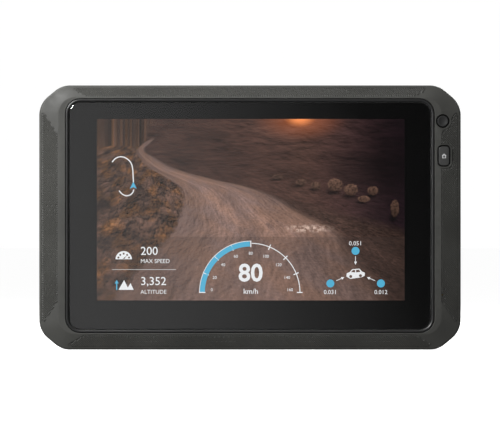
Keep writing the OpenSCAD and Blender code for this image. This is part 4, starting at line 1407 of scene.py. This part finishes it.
def camera_barrel(material, lens_material):
    x, y, _ = CAMERA
    z = BACK_Z
    steps = [(0, z + 2.5), (0, z + 1.66), (0.35, z + 1.66), (0.4, z + 1.9), (0.9, z + 1.9), (1.0, z + 2.2),
             (1.6, z + 2.2), (1.65, z + 2.45)]
    piece = slab(lambda inset: circle(3.2 - inset, x, y, 48), steps[::-1], material, "camera_barrel")
    dome = [(0, z + 2.3), (0.25, z + 2.1), (0.7, z + 1.95), (1.2, z + 1.9)]
    lens = slab(lambda inset: circle(1.5 - inset, x, y, 32), dome, lens_material, "camera_lens")


# ---------- finishes of the CAD nodes that show as they are ----------

def finish_nodes():
    steel = metal("steel_plate", (0.62, 0.63, 0.65), 0.36)
    finishes = [
        (rubber("seal_rubber", (0.30, 0.075, 0.025)), ("port_door_seal",)),
        (rubber("grey_rubber", (0.05, 0.05, 0.052)), ("housing_seal", "speaker_gasket")),
        (moulded("diffuser", (0.82, 0.82, 0.8), rough=0.6, grain=0.02, wear=0.0), ("backlight_unit",)),
        (moulded("flex_film", (0.42, 0.2, 0.04), rough=0.3, grain=0.02),
         ("display_flex", "wireless_antenna")),
        (steel, ("display_tray", "shield_cans", "usb_socket", "card_socket", "battery_bracket",
                 "key_switches", "volume_switches")),
        (metal("chassis_alloy", (0.42, 0.43, 0.44), 0.45, scratch=0.3), ("chassis_plate",)),
        (metal("screw_steel", (0.5, 0.5, 0.52), 0.3, (1, 1, 1)),
         ("chassis_screws", "board_screws", "key_board_screws", "port_door_pin")),
        (metal("black_screw", (0.07, 0.07, 0.075), 0.42, (1, 1, 1)), ("case_screws",)),
        (metal("brass", (0.72, 0.5, 0.2), 0.32, (1, 1, 6)), ("mount_inserts", "case_inserts", "microphone")),
        (metal("gold_contact", (0.86, 0.62, 0.25), 0.24, (1, 1, 1), 0.05), ("dock_contacts",)),
        (metal("dark_ring", (0.12, 0.12, 0.125), 0.3, (1, 1, 1)), ("camera_ring",)),
        (circuit("circuit_board"), ("main_board", "key_board", "volume_board")),
        (moulded("antenna_ceramic", (0.6, 0.52, 0.38), rough=0.5), ("gnss_antenna",)),
        (moulded("cell_wrap", (0.035, 0.037, 0.05), rough=0.35), ("battery_pack",)),
        (moulded("socket_plastic", (0.02, 0.02, 0.021), rough=0.45),
         ("audio_jack", "dock_contact_block", "speaker_driver", "camera_module")),
        (moulded("card_plastic", (0.025, 0.025, 0.03), rough=0.4), ("memory_card",)),
        (clear_glass("camera_glass", (0.7, 0.72, 0.78)), ("camera_window",)),
        (moulded("flash_diffuser", (0.75, 0.73, 0.6), rough=0.25, grain=0.01, wear=0.0), ("flash_lens",)),
        (moulded("flash_phosphor", (0.8, 0.62, 0.12), rough=0.5), ("flash_led",)),
        (woven_mesh("speaker_steel"), ("speaker_mesh",)),
        (rubber("membrane", (0.75, 0.75, 0.74), 0.6), ("vent_membrane",)),
    ]
    for material, names in finishes:
        for name in names:
            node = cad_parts[name]
            node.data.materials.clear()
            node.data.materials.append(material)


# ---------- stage, lights and camera ----------

CAMERA_DISTANCE = 2.4
FRAME_WIDTH = 0.25006
CARD_Y = LO.y - CAMERA_DISTANCE - 0.1
STAGE_SIZE = 8.0
WORLD_LEVEL = 0.22
KEY_POWER = 4.5
# Brightness across the light card, (metres to the right, level), and how far it leans with height.
CARD_STOPS = [(-0.6, 0.60), (-0.18, 0.59), (-0.115, 0.53), (-0.05, 0.43), (0.016, 0.285), (0.049, 0.225),
              (0.082, 0.165), (0.114, 0.11), (0.147, 0.062), (0.2, 0.045), (0.6, 0.04)]
CARD_SLANT = 0.28


def camera():
    data = bpy.data.cameras.new("camera")
    data.sensor_width = 36
    data.lens = 36 * CAMERA_DISTANCE / FRAME_WIDTH
    data.clip_end = 50
    cam = bpy.data.objects.new("camera", data)
    cam.location = (0, LO.y - CAMERA_DISTANCE, CASE_H / 2000)
    cam.rotation_euler = (math.pi / 2, 0, 0)
    SCENE.collection.objects.link(cam)
    SCENE.camera = cam


def area_light(name, location, aim, size, power):
    data = bpy.data.lights.new(name, "AREA")
    data.shape = "RECTANGLE"
    data.size, data.size_y = size
    data.energy = power
    light = bpy.data.objects.new(name, data)
    light.location = location
    light.rotation_mode = "QUATERNION"
    light.rotation_quaternion = (Vector(aim) - Vector(location)).to_track_quat("-Z", "Y")
    SCENE.collection.objects.link(light)


def stage_piece(name, corners, faces, material):
    mesh = bpy.data.meshes.new(name)
    mesh.from_pydata([Vector(c) for c in corners], [], faces)
    obj = bpy.data.objects.new(name, mesh)
    SCENE.collection.objects.link(obj)
    obj.data.materials.append(material)
    return obj


def even_white(name, glow_level, base):
    n = Nodes(name)
    n.set(Base_Color=(base,) * 3, Roughness=0.9, Emission_Color=(1.0, 1.0, 1.0), Emission_Strength=glow_level)
    return n.material


def stage():
    """A white floor and surround for the camera, and a card behind it for the glass to mirror."""
    size = STAGE_SIZE
    floor = stage_piece("floor", [(-size, -size, 0), (size, -size, 0), (size, size, 0), (-size, size, 0)],
                        [(0, 1, 2, 3)], even_white("studio_floor", 0.86, 0.5))
    box = [(x, y, z) for z in (-size, size)
           for x, y in ((-size, -size), (size, -size), (size, size), (-size, size))]
    walls = stage_piece("surround", box, [(0, 1, 5, 4), (1, 2, 6, 5), (2, 3, 7, 6), (3, 0, 4, 7),
                                          (4, 5, 6, 7)], even_white("studio_surround", 1.0, 0.0))
    for obj in (floor, walls):
        obj.visible_glossy = obj.visible_diffuse = obj.visible_transmission = False
    walls.visible_shadow = False
    card = Nodes("light_card")
    position = card.add("SeparateXYZ")
    card.link(card.add("TexCoord").outputs["Object"], position.inputs[0])
    slant = card.mul_add(card.minus(position.outputs[2], CASE_H / 2000), CARD_SLANT, position.outputs[0])
    left, right = CARD_STOPS[0][0], CARD_STOPS[-1][0]
    shade = card.ramp(card.spread(slant, left, right),
                      [((x - left) / (right - left), (v,) * 3) for x, v in CARD_STOPS])
    card.set(Emission_Color=shade, Emission_Strength=1.0, Base_Color=(0.0, 0.0, 0.0), Specular_IOR_Level=0.0)
    plane = stage_piece("light_card", [(-1.2, CARD_Y, 1.0), (1.2, CARD_Y, 1.0), (1.2, CARD_Y, -0.9),
                                       (-1.2, CARD_Y, -0.9)], [(0, 1, 2, 3)], card.material)
    plane.visible_camera = False


def lights():
    world = bpy.data.worlds.new("studio")
    SCENE.world = world
    world.use_nodes = True
    world.node_tree.nodes["Background"].inputs["Color"].default_value = (1, 1, 1, 1)
    world.node_tree.nodes["Background"].inputs["Strength"].default_value = WORLD_LEVEL
    area_light("key", (-0.33, -0.36, 0.34), (-0.03, 0, 0.08), (0.16, 0.16), KEY_POWER)
    area_light("top", (-0.25, -0.02, 0.55), (0, 0, 0.1), (0.4, 0.3), 2.0)
    area_light("back", (0.5, 0.7, 0.5), (0, 0, 0.06), (0.4, 0.4), 12.0)


SCENE.view_settings.view_transform = "Standard"
CASE_PLASTIC = moulded("case_plastic", (0.045, 0.045, 0.041), rough=0.55, specular=0.35)
KEY_PLASTIC = moulded("key_plastic", (0.02, 0.02, 0.02), rough=0.5, grain=0.03, specular=0.3)
HOME_PLASTIC = moulded("home_plastic", (0.036, 0.036, 0.035), rough=0.5, grain=0.03, specular=0.4)
RING_PLASTIC = moulded("ring_plastic", (0.012, 0.012, 0.012), rough=0.36, grain=0.01, wear=0.1, specular=0.5)
PALE_MARK = moulded("pale_mark", (0.5, 0.5, 0.5), rough=0.6, grain=0.02, wear=0.0)

finish_nodes()
front_bezel(CASE_PLASTIC)
rear_shell(CASE_PLASTIC)
hinge_ears(CASE_PLASTIC)
trim_ring(RING_PLASTIC)
cover_glass(clear_glass("glass"))
display_print(black_print("black_print"))
display_picture(picture_material())
display_marks(glow("mark_white", srgb(238, 240, 242), 1.05), glow("mark_blue", srgb(84, 178, 214), 1.05))
power_key(KEY_PLASTIC)
home_key(HOME_PLASTIC, PALE_MARK)
volume_key("volume_up_key", True, KEY_PLASTIC, PALE_MARK)
volume_key("volume_down_key", False, KEY_PLASTIC, PALE_MARK)
port_door(CASE_PLASTIC)
camera_barrel(moulded("barrel", (0.012, 0.012, 0.013), rough=0.35, grain=0.02),
              clear_glass("lens_glass", (0.5, 0.45, 0.7)))
camera()
stage()
lights()
